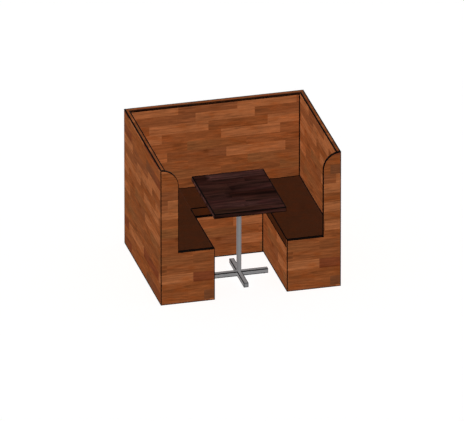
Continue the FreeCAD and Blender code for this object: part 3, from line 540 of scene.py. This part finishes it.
def make_board(name, node, looks, at, corners, thickness, dark_edges=None, dark_sides=None,
               band=8.0, rim=0.0, strips=(), layout=strip_layout, cuts=strip_cuts,
               end_grain=None, wood=STRIP, edge=EDGE, body="booth"):
    """A board of staves that stands for a node. Its show face looks along an axis from a place on it,
    and corners are the outline along the other two axes, in mm. dark_edges says of an edge, by its two
    ends, whether it is eased and darkened (stain, and painted shade where the edge is an inner corner or
    lies at the floor), and dark_sides of a face, by its middle and normal, whether it is stained. rim widens
    the stain on the show face, and strips darkens the board's ends, as (0 along the grain or 1 across it,
    which end by its sign, width); an end at the floor is painted shade as well as stain."""
    face = Face(looks, at, *LAID[node])
    bm = bmesh.new()
    outline = [face.to_board(c) for c in corners]
    front = [bm.verts.new((u, v, 0.0)) for u, v in outline]
    back = [bm.verts.new((u, v, thickness)) for u, v in outline]
    count = len(outline)
    bm.faces.new(front)
    bm.faces.new(back[::-1])
    for i in range(count):
        bm.faces.new((front[i], back[i], back[(i + 1) % count], front[(i + 1) % count]))
    bmesh.ops.recalc_face_normals(bm, faces=bm.faces[:])

    def ends(e):
        return [face.to_frame(*v.co) / MM for v in e.verts]

    if dark_edges:
        dark_bands(bm, lambda e: e.calc_face_angle(0.0) > LEAST_TURN and dark_edges(*ends(e)), band)
    if rim:
        show = [f for f in bm.faces if f.material_index == 0 and f.normal.z < -FACING]
        for f in bmesh.ops.inset_region(bm, faces=show, thickness=rim)["faces"]:
            f.material_index = 1
    us, vs = [v.co.x for v in bm.verts], [v.co.y for v in bm.verts]
    for axis, sign, width in strips:
        line = min((us, vs)[axis]) + width if sign < 0 else max((us, vs)[axis]) - width
        normal = Vector((1 - axis, axis, 0))
        cut_along(bm, bm.faces[:], line * normal, normal)
        for f in bm.faces:
            if sign * (f.calc_center_median()[axis] - line) > 0:
                f.material_index = 1
    cut_into_staves(bm, cuts(min(us), max(us), min(vs), max(vs)))
    bmesh.ops.dissolve_degenerate(bm, dist=LEAST_EDGE, edges=bm.edges[:])
    dress_staves(bm, layout, end_grain)
    for v in bm.verts:
        v.co = face.to_frame(*v.co)
    bmesh.ops.recalc_face_normals(bm, faces=bm.faces[:])
    for f in bm.faces:
        if dark_sides and dark_sides(f.calc_center_median() / MM, f.normal):
            f.material_index = 1
    piece = to_object(name, bm, wood, edge)
    declare(piece, body, (node,))
    normals = piece.modifiers.new("flat_faces", "WEIGHTED_NORMAL")
    normals.weight = 100
    normals.keep_sharp = False


def near(value, *targets):
    return any(abs(value - t) < TOUCH for t in targets)


def both(axis, *targets):
    """An edge whose two ends lie on one of these places of an axis."""
    index = "xyz".index(axis)
    return lambda a, b: near(a[index], *targets) and near(b[index], *targets)


def along(axis):
    """An edge that runs along an axis."""
    index = "xyz".index(axis)
    return lambda a, b: all(near(a[i], b[i]) for i in range(3) if i != index)


def all_of(*tests):
    return lambda a, b: all(t(a, b) for t in tests)


def any_of(*tests):
    return lambda a, b: any(t(a, b) for t in tests)


def rectangle(low, high):
    return [low, (high[0], low[1]), high, (low[0], high[1])]


OUT_X, IN_X = 750.0, 710.0
FRONT_Y, PANEL_BACK, BACK_Y, BACK_IN = -610.0, -590.0, 610.0, 560.0
SKIN_TOP, TOP = 1192.0, 1200.0
SEAT_TOP, BASE_TOP = 460.0, 380.0
LEG_X, LEG_Y = 300.0, 160.0
SHOULDER_X, SHOULDER_Z, SHOULDER_R, SHOULDER_STEPS = 600.0, 1050.0, 150.0, 36
SKIN, FASCIA, CAP, PANEL = 12.0, 18.0, 8.0, 20.0
TABLE_TOP, TABLE_FRONT, TABLE_BOARD = 750.0, -590.0, 40.0

# Widths of the dark bands and strips, in mm. In inner corners and along the floor they are painted shade as
# well as stain.
CORNER_BAND, END_BAND, BACK_CAP_BAND = 10.0, 9.0, 6.0
FLOOR_STRIP = ((1, -1, 14.0),)
CAP_STRIP = 11.0
TABLE_BAND, TABLE_RIM = 6.0, 5.0
# What counts as an end panel's thin side: the most of its normal along Y, and how far in from the ends.
SIDEWAYS, CLEAR = 0.5, 1.0


def round_the_opening(middle, normal):
    """The thin side of an end panel from its seat to the top of its shoulder."""
    inside = LEG_X + CLEAR < abs(middle.x) < OUT_X - CLEAR
    return abs(normal.y) < SIDEWAYS and middle.z > SEAT_TOP - END_BAND and inside


for side, sign, outward, inward in (("left", -1, "-X", "+X"), ("right", 1, "+X", "-X")):
    # Outer skins: dark along the floor, painted contact shade as well as stain, and stained down the back
    # corner.
    make_board(
        side + "_wall_outer_boards", side + "_wall_outer_skin", outward, sign * OUT_X,
        rectangle((PANEL_BACK, 0.0), (BACK_Y, SKIN_TOP)), SKIN,
        all_of(both("x", sign * OUT_X), both("y", BACK_Y)), strips=FLOOR_STRIP)
    make_board(
        side + "_wall_inner_boards", side + "_wall_inner_skin", inward, sign * IN_X,
        rectangle((PANEL_BACK, 0.0), (BACK_Y - SKIN, SKIN_TOP)), SKIN)
    # End panels: every edge of the show face, and the thin side round the opening.
    turns = [math.radians(90 * i / SHOULDER_STEPS) for i in range(SHOULDER_STEPS + 1)]
    shape = [(OUT_X, 0.0), (LEG_X, 0.0), (LEG_X, SEAT_TOP), (SHOULDER_X, SEAT_TOP)]
    shape += [(SHOULDER_X + SHOULDER_R * (1 - math.cos(t)), SHOULDER_Z + SHOULDER_R * math.sin(t))
              for t in turns]
    make_board(
        side + "_end_board", side + "_end_panel", "-Y", FRONT_Y, [(sign * x, z) for x, z in shape],
        PANEL, both("y", FRONT_Y), round_the_opening, band=END_BAND)
    # Fascias: dark along the floor, painted contact shade as well as stain.
    make_board(
        side + "_fascia_board", side + "_fascia", inward, sign * LEG_X,
        rectangle((PANEL_BACK, 0.0), (LEG_Y + FASCIA, BASE_TOP)), FASCIA, strips=FLOOR_STRIP)
    # Caps: the staves run across the side walls, and both long edges and both ends are dark.
    shape = [(OUT_X, PANEL_BACK), (OUT_X, BACK_Y), (IN_X, BACK_IN), (IN_X, PANEL_BACK)]
    make_board(
        side + "_cap_board", side + "_wall_cap", "+Z turned", TOP, [(sign * x, y) for x, y in shape],
        CAP, all_of(both("z", TOP), both("x", sign * OUT_X, sign * IN_X), along("y")),
        strips=((0, -1, CAP_STRIP), (0, 1, CAP_STRIP)))

# The back wall: dark in its inner corners and along the floor behind, painted shade there as well as stain.
make_board(
    "back_wall_outer_boards", "back_wall_outer_skin", "+Y", BACK_Y,
    rectangle((-OUT_X + SKIN, 0.0), (OUT_X - SKIN, SKIN_TOP)), SKIN,
    all_of(both("y", BACK_Y), both("z", 0.0)))
make_board(
    "back_wall_inner_boards", "back_wall_inner_skin", "-Y", BACK_IN,
    rectangle((-IN_X, 0.0), (IN_X, SKIN_TOP)), SKIN,
    all_of(both("y", BACK_IN), both("x", -IN_X, IN_X)), band=CORNER_BAND)
make_board(
    "back_fascia_board", "back_fascia", "-Y", LEG_Y, rectangle((-LEG_X, 0.0), (LEG_X, BASE_TOP)), FASCIA,
    all_of(both("y", LEG_Y), any_of(both("z", 0.0), both("x", -LEG_X, LEG_X))), band=CORNER_BAND)
make_board(
    "back_cap_board", "back_wall_cap", "+Z turned", TOP,
    [(-OUT_X, BACK_Y), (OUT_X, BACK_Y), (IN_X, BACK_IN), (-IN_X, BACK_IN)], CAP,
    all_of(both("z", TOP), both("y", BACK_Y, BACK_IN), along("x")), band=BACK_CAP_BAND,
    strips=((1, -1, CAP_STRIP),))

make_board(
    "table_top_board", "table_top", "+Z", TABLE_TOP,
    rectangle((-TABLE_X, TABLE_FRONT), (TABLE_X, TABLE_BACK)), TABLE_BOARD,
    lambda a, b: True, band=TABLE_BAND, rim=TABLE_RIM, layout=table_layout, cuts=table_cuts,
    end_grain=TABLE_END_GRAIN, wood=TABLE_WOOD, edge=TABLE_EDGE, body="table")


# Pedestal.

COLUMN_X, COLUMN_Y = 0.0, -215.0
COLUMN_OUTER, COLUMN_INNER, COLUMN_LOW, COLUMN_HIGH = 20.0, 18.0, 43.0, 705.0
ARM_HALF, ARM_MID, ARM_INNER, ARM_REACH = 20.0, 23.0, 17.5, 240.0
ARM_CORNER, ARM_INNER_CORNER, CORNER_STEPS = 3.0, 0.8, 5
ARM_BAND = 4.0    # how far the dark of an arris reaches on to the flats
END_CAP, CAP_EASE, CAP_RIM_WIDTH, LEAST_CORNER = 3.0, 1.2, 4.0, 0.5
CAP_ROUNDING = ((1.0, 0.0), (0.3, 0.35), (0.0, 1.0))    # shares of CAP_EASE, back from the face and in
COLUMN_STEPS, WELT_STEPS = 72, 12
SMOOTH_METAL, SMOOTH_WELT = 30, 40    # edges that turn by more, in degrees, stay sharp


def bridge(bm, one, other):
    """The faces between two rings of as many corners."""
    count = len(one)
    return [bm.faces.new((one[i], one[(i + 1) % count], other[(i + 1) % count], other[i]))
            for i in range(count)]


def mesh_piece(name, bm, materials, body, replaced, smooth_below):
    bmesh.ops.recalc_face_normals(bm, faces=bm.faces[:])
    piece = to_object(name, bm, *materials)
    piece.data.set_sharp_from_angle(angle=math.radians(smooth_below))
    declare(piece, body, replaced)


def turned(rings):
    """A turned form from its closed profile of (radius, height) in mm, round the column's axis."""
    bm = bmesh.new()
    turns = [math.tau * i / COLUMN_STEPS for i in range(COLUMN_STEPS)]
    loops = [[bm.verts.new(((COLUMN_X + radius * math.cos(t)) * MM,
                            (COLUMN_Y + radius * math.sin(t)) * MM, height * MM)) for t in turns]
             for radius, height in rings]
    for k in range(len(loops)):
        bridge(bm, loops[k], loops[(k + 1) % len(loops)])
    return bm


def rounded_square(half, radius, band=0.0):
    """The outline of a square bar with rounded corners, as (across, up) about its middle. band adds a
    point on the flats at either end of each corner."""
    points = []
    for quarter, (sx, sz) in enumerate(((1, 1), (-1, 1), (-1, -1), (1, -1))):
        corner = []
        for i in range(CORNER_STEPS + 1):
            turn = math.radians(90 * quarter + 90 * i / CORNER_STEPS)
            corner.append((sx * (half - radius) + radius * math.cos(turn),
                           sz * (half - radius) + radius * math.sin(turn)))
        if band:
            begin, end = math.radians(90 * quarter - 90), math.radians(90 * quarter + 180)
            (a, b), (c, d) = corner[0], corner[-1]
            corner.insert(0, (a + band * math.cos(begin), b + band * math.sin(begin)))
            corner.append((c + band * math.cos(end), d + band * math.sin(end)))
        points += corner
    return points


def arm_ring(bm, axis, place, across, outline):
    """The corners of an outline at a place on a foot bar that runs along the X or Y axis."""
    ring = []
    for a, b in outline:
        point = (place, across + a, ARM_MID + b) if axis == "x" else (across + a, place, ARM_MID + b)
        ring.append(bm.verts.new(Vector(point) * MM))
    return ring


def square_tube(bm, axis, start, end, across):
    """A square tube between two places on its axis, its outer arrises in the second material."""
    outer = rounded_square(ARM_HALF, ARM_CORNER, ARM_BAND)
    inner = rounded_square(ARM_INNER, ARM_INNER_CORNER, ARM_BAND)
    rings = [arm_ring(bm, axis, place, across, outline)
             for place, outline in ((start, outer), (end, outer), (end, inner), (start, inner))]
    per_corner = CORNER_STEPS + 3
    for k in range(len(rings)):
        for i, made in enumerate(bridge(bm, rings[k], rings[(k + 1) % len(rings)])):
            if k == 0 and i % per_corner != per_corner - 1:
                made.material_index = 1


def end_cap(bm, axis, inner, outer, across):
    """A plate over a tube's end, its outer edge rounded and, with a rim inside it, in the second material.
    The dark ring of that material where the cap meets the tube is painted shade of the joint."""
    ease = math.copysign(CAP_EASE, outer - inner)
    profile = [(inner, 0.0)] + [(outer - back * ease, inward * CAP_EASE) for back, inward in CAP_ROUNDING]
    profile.append((outer, CAP_EASE + CAP_RIM_WIDTH))
    rings = []
    for place, shrink in profile:
        outline = rounded_square(ARM_HALF - shrink, max(ARM_CORNER - shrink, LEAST_CORNER))
        rings.append(arm_ring(bm, axis, place, across, outline))
    for one, other in zip(rings, rings[1:]):
        for made in bridge(bm, one, other):
            made.material_index = 1
    bm.faces.new(rings[0])
    bm.faces.new(rings[-1][::-1])


mesh_piece(
    "column", turned([(COLUMN_OUTER, COLUMN_LOW), (COLUMN_OUTER, COLUMN_HIGH),
                      (COLUMN_INNER, COLUMN_HIGH), (COLUMN_INNER, COLUMN_LOW)]),
    [POWDER], "table", ("column_tube",), SMOOTH_METAL)

# The long bar runs through under the column, and the two short ones meet its sides.
TUBE_REACH = ARM_REACH - END_CAP
for name, axis, start, end, across in (
        ("long", "x", -TUBE_REACH, TUBE_REACH, COLUMN_Y),
        ("front", "y", COLUMN_Y - ARM_HALF, COLUMN_Y - TUBE_REACH, COLUMN_X),
        ("back", "y", COLUMN_Y + ARM_HALF, COLUMN_Y + TUBE_REACH, COLUMN_X)):
    bm = bmesh.new()
    square_tube(bm, axis, start, end, across)
    mesh_piece("foot_bar_" + name, bm, [POWDER, WORN], "table",
               ("foot_arm_" + name,), SMOOTH_METAL)
bm = bmesh.new()
for axis, middle, across in (("x", COLUMN_X, COLUMN_Y), ("y", COLUMN_Y, COLUMN_X)):
    for sign in (-1, 1):
        end_cap(bm, axis, middle + sign * TUBE_REACH, middle + sign * ARM_REACH, across)
mesh_piece("foot_caps", bm, [CAD_FINISHES["cap_plastic"], CAP_RIM], "table",
           ("foot_end_caps",), SMOOTH_METAL)


# Cushions.

PAD_BOTTOM, PAD_SEAM = 380.0, 456.0
INSET = 5.0    # the cover stands in from the CAD solid's sides, so that the piping is flush with them
OVERLAP = 4.2    # where two pads butt, the cover goes out to its neighbour instead
CORNER, BOARD_CORNER = 10.0, 1.2    # the radius at the top seam, and round the board's sharp corners
PULL, PULL_POWER = 2.0, 8    # how far a side's middle is pulled in at the top seam, and how soon it fades
BOARD_TOP = 392.4    # the cover's underside rests on the board that it is stapled round
BULGE = 2.2    # how far the band between the two seams swells out
ROLL, ROLL_REACH = 2.6, 6.0
CROWN, CROWN_REACH = 3.6, 55.0
CLOTH_SHARE, CLOTH_MOST, CLOTH_FRAMES = 0.16, 4.2, 20
CLOTH = {
    "quality": 6, "mass": 0.4, "tension_stiffness": 18, "compression_stiffness": 18, "shear_stiffness": 8,
    "bending_stiffness": 2.0, "use_pressure": True, "uniform_pressure_force": 4.0, "shrink_min": -0.012,
}
HELD_SLACK, RIM_SLACK = 1e-5, 1.0    # how near a place is to a seam or the rim to be held, in m and in mm
# The grid of the cover: its step on the panels, its places near their edges, and its rows on the band.
STEP, EDGE_STOPS, BAND_ROWS = 14.0, (0.0, 3.0, 6.5, 11.0, 18.0), 6
AT_SEAM, AT_SIDE = 0.5, 0.01    # how near a place counts as on the top seam, and as on a side
PIPING_RADIUS, PIPING_CLEAR, PIPING_RISE = 4.6, 0.2, 0.6
WELT_CORNER = PIPING_RADIUS + 0.6    # the tightest corner that a welt turns
CORNER_STOPS = (0.0, 2.8, 5.5, 7.8, 10.0)    # places along a welt near a corner, then one each WELT_STEP
WELT_STEP = 24.0
SIDES = {"-x": (0, -1), "+x": (0, 1), "-y": (1, -1), "+y": (1, 1)}


class Pad:
    """Where a cushion lies: its CAD solid's low and high corners, the sides that butt against another
    pad all along, and the side, if any, that does so from a place on the Y axis on."""

    def __init__(self, low, high, butts=(), shared=None, joint=0.0):
        low, high = list(low), list(high)
        for side, (axis, sign) in SIDES.items():
            shift = OVERLAP if side in butts else -INSET
            if sign < 0:
                low[axis] -= shift
            else:
                high[axis] += shift
        self.butts = butts
        self.middle = [(a + b) / 2 for a, b in zip(low, high)]
        self.half = [(b - a) / 2 for a, b in zip(low, high)]
        self.shared, self.joint = shared, joint - self.middle[1]

    def has_seam(self, side, y):
        """Whether a side is free at this place, and so has a seam."""
        return side not in self.butts and not (side == self.shared and y > self.joint)

    def outline(self, x, y, z, tightest=BOARD_CORNER):
        """A place on the flat pad, from its middle, rounded at the corners and pulled in between them,
        more so towards the top seam."""
        pull = PULL * max(0.0, (z - PAD_BOTTOM) / (PAD_SEAM - PAD_BOTTOM))
        corner = max(tightest, CORNER * (z - BOARD_TOP) / (PAD_SEAM - BOARD_TOP))
        place = [x, y]
        for side, (axis, sign) in SIDES.items():
            if self.has_seam(side, y):
                share = max(0.0, sign * (x, y)[axis] / self.half[axis]) ** PULL_POWER
                other = (x, y)[1 - axis] / self.half[1 - axis]
                place[axis] -= sign * pull * share * (1 - other * other)
        dx, dy = (max(abs(v) - (h - corner), 0.0) for v, h in zip((x, y), self.half))
        if dx > 0 and dy > 0 and not self.butts:
            shrink = max(dx, dy) / math.hypot(dx, dy)
            place = [math.copysign(h - corner + d * shrink, v)
                     for v, h, d in zip((x, y), self.half, (dx, dy))]
        return place

    def from_edges(self, x, y):
        """How far a place is from each side that has a seam."""
        past_joint = max(0.0, y - self.joint)
        return [self.half[axis] - sign * (x, y)[axis] + (past_joint if side == self.shared else 0.0)
                for side, (axis, sign) in SIDES.items() if side not in self.butts]

    def to_frame(self, x, y, z):
        return Vector((self.middle[0] + x, self.middle[1] + y, z)) * MM


def spaced(half):
    """Places from -half to half, closer together near the edges."""
    edge, inner = EDGE_STOPS[:-1], half - EDGE_STOPS[-1]
    count = max(2, round(2 * inner / STEP))
    middle = [-inner + 2 * inner * i / count for i in range(count + 1)]
    return [-half + e for e in edge] + middle + [half - e for e in reversed(edge)]


def make_pad(name, body, node, pad):
    """A boxed cushion: top and bottom panels sewn to a band, with the crown from a cloth simulation."""
    xs, ys = (spaced(h) for h in pad.half)
    zs = [PAD_BOTTOM + (PAD_SEAM - PAD_BOTTOM) * i / BAND_ROWS for i in range(BAND_ROWS + 1)]
    bm = bmesh.new()
    index = {}
    flat = []

    def vert(i, j, k):
        if (i, j, k) not in index:
            over_board = k == 0 and 0 < i < nx and 0 < j < ny
            z = BOARD_TOP if over_board else zs[k]
            x, y = pad.outline(xs[i], ys[j], z)
            index[i, j, k] = bm.verts.new(pad.to_frame(x, y, z))
            flat.append((xs[i], ys[j], z, over_board))
        return index[i, j, k]

    nx, ny, nz = len(xs) - 1, len(ys) - 1, len(zs) - 1
    for k in (0, nz):
        for i in range(nx):
            for j in range(ny):
                bm.faces.new((vert(i, j, k), vert(i + 1, j, k), vert(i + 1, j + 1, k), vert(i, j + 1, k)))
    for k in range(nz):
        for i in range(nx):
            for j in (0, ny):
                bm.faces.new((vert(i, j, k), vert(i + 1, j, k), vert(i + 1, j, k + 1), vert(i, j, k + 1)))
        for j in range(ny):
            for i in (0, nx):
                bm.faces.new((vert(i, j, k), vert(i, j + 1, k), vert(i, j + 1, k + 1), vert(i, j, k + 1)))
    bmesh.ops.recalc_face_normals(bm, faces=bm.faces[:])
    piece = to_object(name, bm, LEATHER)
    rest = [v.co.copy() for v in piece.data.vertices]
    swell = inflate(piece, rest)
    shape_pad(piece, pad, rest, flat, swell)
    declare(piece, body, (node,))


def inflate(piece, rest):
    """How far each corner of the cover rises when it swells between its sewn edges, in mm."""
    seam, board = PAD_SEAM * MM, BOARD_TOP * MM
    lows = [min(c[i] for c in rest) for i in (0, 1)]
    highs = [max(c[i] for c in rest) for i in (0, 1)]
    held = piece.vertex_groups.new(name="held")
    edge = (PULL + RIM_SLACK) * MM
    for index, place in enumerate(rest):
        rim = any(place[i] - lows[i] < edge or highs[i] - place[i] < edge for i in (0, 1))
        if place.z < board + HELD_SLACK or (rim and abs(place.z - seam) < HELD_SLACK):
            held.add([index], 1.0, "REPLACE")
    cloth = piece.modifiers.new("swell", "CLOTH")
    for key, value in CLOTH.items():
        setattr(cloth.settings, key, value)
    cloth.settings.vertex_group_mass = held.name
    cloth.settings.effector_weights.gravity = 0.0
    cloth.collision_settings.use_self_collision = False
    scene = bpy.context.scene
    for number in range(1, CLOTH_FRAMES + 1):
        scene.frame_set(number)
    graph = bpy.context.evaluated_depsgraph_get()
    result = piece.evaluated_get(graph).to_mesh()
    rises = [(v.co.z - first.z) / MM for v, first in zip(result.vertices, rest)]
    piece.evaluated_get(graph).to_mesh_clear()
    piece.modifiers.remove(cloth)
    piece.vertex_groups.remove(held)
    scene.frame_set(1)
    return rises


def shape_pad(piece, pad, rest, flat, swell):
    """Rolls the top over its seam, adds the capped swell of the cover, and rounds the band."""
    for vertex, first, (x, y, z, over_board), rise in zip(piece.data.vertices, rest, flat, swell):
        if over_board:
            vertex.co = first
        elif z > PAD_SEAM - AT_SEAM:
            reach = pad.from_edges(x, y)
            roll = ROLL * math.prod(1.0 - math.exp(-d / ROLL_REACH) for d in reach)
            if rise is None:
                crown = CROWN * math.prod(1.0 - math.exp(-d / CROWN_REACH) for d in reach)
            else:
                crown = min(max(CLOTH_SHARE * rise, 0.0), CLOTH_MOST)
            vertex.co = first + Vector((0.0, 0.0, (roll + crown) * MM))
        else:
            share = math.sin(math.pi * (z - PAD_BOTTOM) / (PAD_SEAM - PAD_BOTTOM))
            out = Vector((0.0, 0.0, 0.0))
            for side, (axis, sign) in SIDES.items():
                if pad.has_seam(side, y) and sign * (x, y)[axis] > pad.half[axis] - AT_SIDE:
                    out[axis] = sign * BULGE * MM * share
            vertex.co = first + out
    piece.data.update()


def sweep(bm, path, radius):
    """A round tube with closed ends along a level path."""
    turns = [math.tau * n / WELT_STEPS for n in range(WELT_STEPS)]
    up = Vector((0, 0, 1))
    rings = []
    for i, here in enumerate(path):
        ahead = (path[min(i + 1, len(path) - 1)] - path[max(i - 1, 0)]).normalized()
        side = Vector((-ahead.y, ahead.x, 0.0))
        rings.append([bm.verts.new(here + radius * (side * math.cos(t) + up * math.sin(t))) for t in turns])
    for one, other in zip(rings, rings[1:]):
        bridge(bm, one, other)
    bm.faces.new(rings[0][::-1])
    bm.faces.new(rings[-1])


def make_welts(name, body, pad, runs):
    """Welts in the top and bottom seams. runs are lists of corners on the flat pad, from its middle."""
    bm = bmesh.new()
    first = CORNER_STOPS[-1]
    for run in runs:
        path = []
        for (x0, y0), (x1, y1) in zip(run, run[1:]):
            length = math.hypot(x1 - x0, y1 - y0)
            middle = length - 2 * first
            count = max(2, round(middle / WELT_STEP))
            stops = list(CORNER_STOPS) + [first + middle * n / count for n in range(1, count)]
            stops += [length - s for s in reversed(CORNER_STOPS)]
            for s in stops[1 if path else 0:]:
                path.append((x0 + (x1 - x0) * s / length, y0 + (y1 - y0) * s / length))
        for seam, height in ((PAD_BOTTOM, PAD_BOTTOM + PIPING_RADIUS + PIPING_CLEAR),
                             (PAD_SEAM, PAD_SEAM + PIPING_RISE)):
            line = [pad.to_frame(*pad.outline(x, y, seam, WELT_CORNER), height) for x, y in path]
            sweep(bm, line, PIPING_RADIUS * MM)
    mesh_piece(name, bm, [PIPING], body, (), SMOOTH_WELT)


for side, sign in (("left", -1), ("right", 1)):
    near_x, far_x = sorted((sign * LEG_X, sign * IN_X))
    pad = Pad((near_x, PANEL_BACK), (far_x, BACK_IN), shared="+x" if sign < 0 else "-x", joint=LEG_Y)
    make_pad(side + "_seat_cushion", side + "_cushion", side + "_cushion_pad", pad)
    hx, hy = sign * pad.half[0], pad.half[1]
    make_welts(side + "_seat_piping", side + "_cushion", pad,
               [[(-hx, pad.joint), (-hx, -hy), (hx, -hy), (hx, hy), (-hx, hy)]])
pad = Pad((-LEG_X, LEG_Y), (LEG_X, BACK_IN), ("-x", "+x"))
make_pad("back_seat_cushion", "back_cushion", "back_cushion_pad", pad)
hx, hy = pad.half
make_welts("back_seat_piping", "back_cushion", pad, [[(-hx, -hy), (hx, -hy)], [(-hx, hy), (hx, hy)]])


# The rest of the CAD nodes.

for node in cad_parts.values():
    for position, material in enumerate(node.data.materials):
        node.material_slots[position].link = "OBJECT"
        node.material_slots[position].material = CAD_FINISHES[material.name]


# Floor, light and camera.

WHITE = (1.0, 1.0, 1.0, 1.0)
FLOOR_SEEN, FLOOR_GREY, FLOOR_GLOW, FLOOR_REACH = 0.9, 0.12, 0.19, 30.0
SKY_SEEN, SKY = 1.0, 0.10
SUN, SUN_HEIGHT, SUN_ANGLE, SUN_AZIMUTHS = 2.05, 18.0, 12.0, (45, 135, 225, 315)
CAMERA_AZIMUTH, CAMERA_HEIGHT = -14.29, 25.41
CAMERA_AIM = Vector((-0.0641, -0.2401, 0.600))
CAMERA_LENS, CAMERA_SENSOR, FRAME_WIDTH = 1500.0, 36.0, 3.748
CLIP_START_SHARE, CLIP_END_SHARE = 0.8, 1.4


def make_floor():
    """A pale floor that glows a little where it is seen, and is darker where it lights the booth."""
    material = bpy.data.materials.new("studio_floor")
    nodes = Nodes(material)
    nodes.tree.nodes.clear()
    rays = nodes.node("LightPath").outputs
    grey = nodes.remap(rays["Is Camera Ray"], 0.0, 1.0, FLOOR_GREY, FLOOR_SEEN)
    cover = nodes.node("BsdfDiffuse", {"Color": grey})
    seen = nodes.math("MAXIMUM", rays["Is Camera Ray"], rays["Is Glossy Ray"])
    glow = nodes.node("Emission", {"Strength": nodes.math("MULTIPLY", seen, FLOOR_GLOW)})
    both_shaders = nodes.node("AddShader", {0: cover.outputs[0], 1: glow.outputs[0]})
    nodes.node("OutputMaterial", {"Surface": both_shaders.outputs[0]})
    mesh = bpy.data.meshes.new("floor")
    reach = FLOOR_REACH
    mesh.from_pydata([(-reach, -reach, 0), (reach, -reach, 0), (reach, reach, 0), (-reach, reach, 0)],
                     [], [(0, 1, 2, 3)])
    mesh.materials.append(material)
    add_object("floor", mesh)


def make_world():
    """A sky that is white where it is seen or mirrored, and lights the booth only a little."""
    world = bpy.data.worlds.new("studio")
    bpy.context.scene.world = world
    nodes = Nodes(world)
    nodes.tree.nodes.clear()
    rays = nodes.node("LightPath").outputs
    mirrored = nodes.math("MAXIMUM", rays["Is Glossy Ray"], rays["Is Transmission Ray"])
    inputs = {0: nodes.math("MAXIMUM", rays["Is Camera Ray"], mirrored)}
    for socket, strength in ((1, SKY), (2, SKY_SEEN)):
        inputs[socket] = nodes.node("Background", {"Color": WHITE, "Strength": strength}).outputs[0]
    nodes.node("OutputWorld", {"Surface": nodes.node("MixShader", inputs).outputs[0]})


def look_from(thing, azimuth, height):
    """Turns a lamp or the camera to look from this side, and gives the way back from what it sees."""
    a, e = math.radians(azimuth), math.radians(height)
    back = Vector((math.sin(a) * math.cos(e), -math.cos(a) * math.cos(e), math.sin(e)))
    thing.rotation_mode = "QUATERNION"
    thing.rotation_quaternion = (-back).to_track_quat("-Z", "Y")
    return back


make_floor()
make_world()

for number, azimuth in enumerate(SUN_AZIMUTHS):
    lamp = bpy.data.lights.new("fill_%d" % number, "SUN")
    lamp.energy = SUN
    lamp.angle = math.radians(SUN_ANGLE)
    lamp.use_shadow = False
    look_from(add_object(lamp.name, lamp), azimuth, SUN_HEIGHT)

# The lens is so long that the view is parallel, as the photograph's is.
camera_data = bpy.data.cameras.new("camera")
camera_data.lens, camera_data.sensor_width = CAMERA_LENS, CAMERA_SENSOR
camera_distance = FRAME_WIDTH * CAMERA_LENS / CAMERA_SENSOR
camera_data.clip_start = CLIP_START_SHARE * camera_distance
camera_data.clip_end = CLIP_END_SHARE * camera_distance
camera = add_object("camera", camera_data)
camera.location = CAMERA_AIM + look_from(camera, CAMERA_AZIMUTH, CAMERA_HEIGHT) * camera_distance
bpy.context.scene.camera = camera
bpy.context.scene.view_settings.view_transform = "Standard"
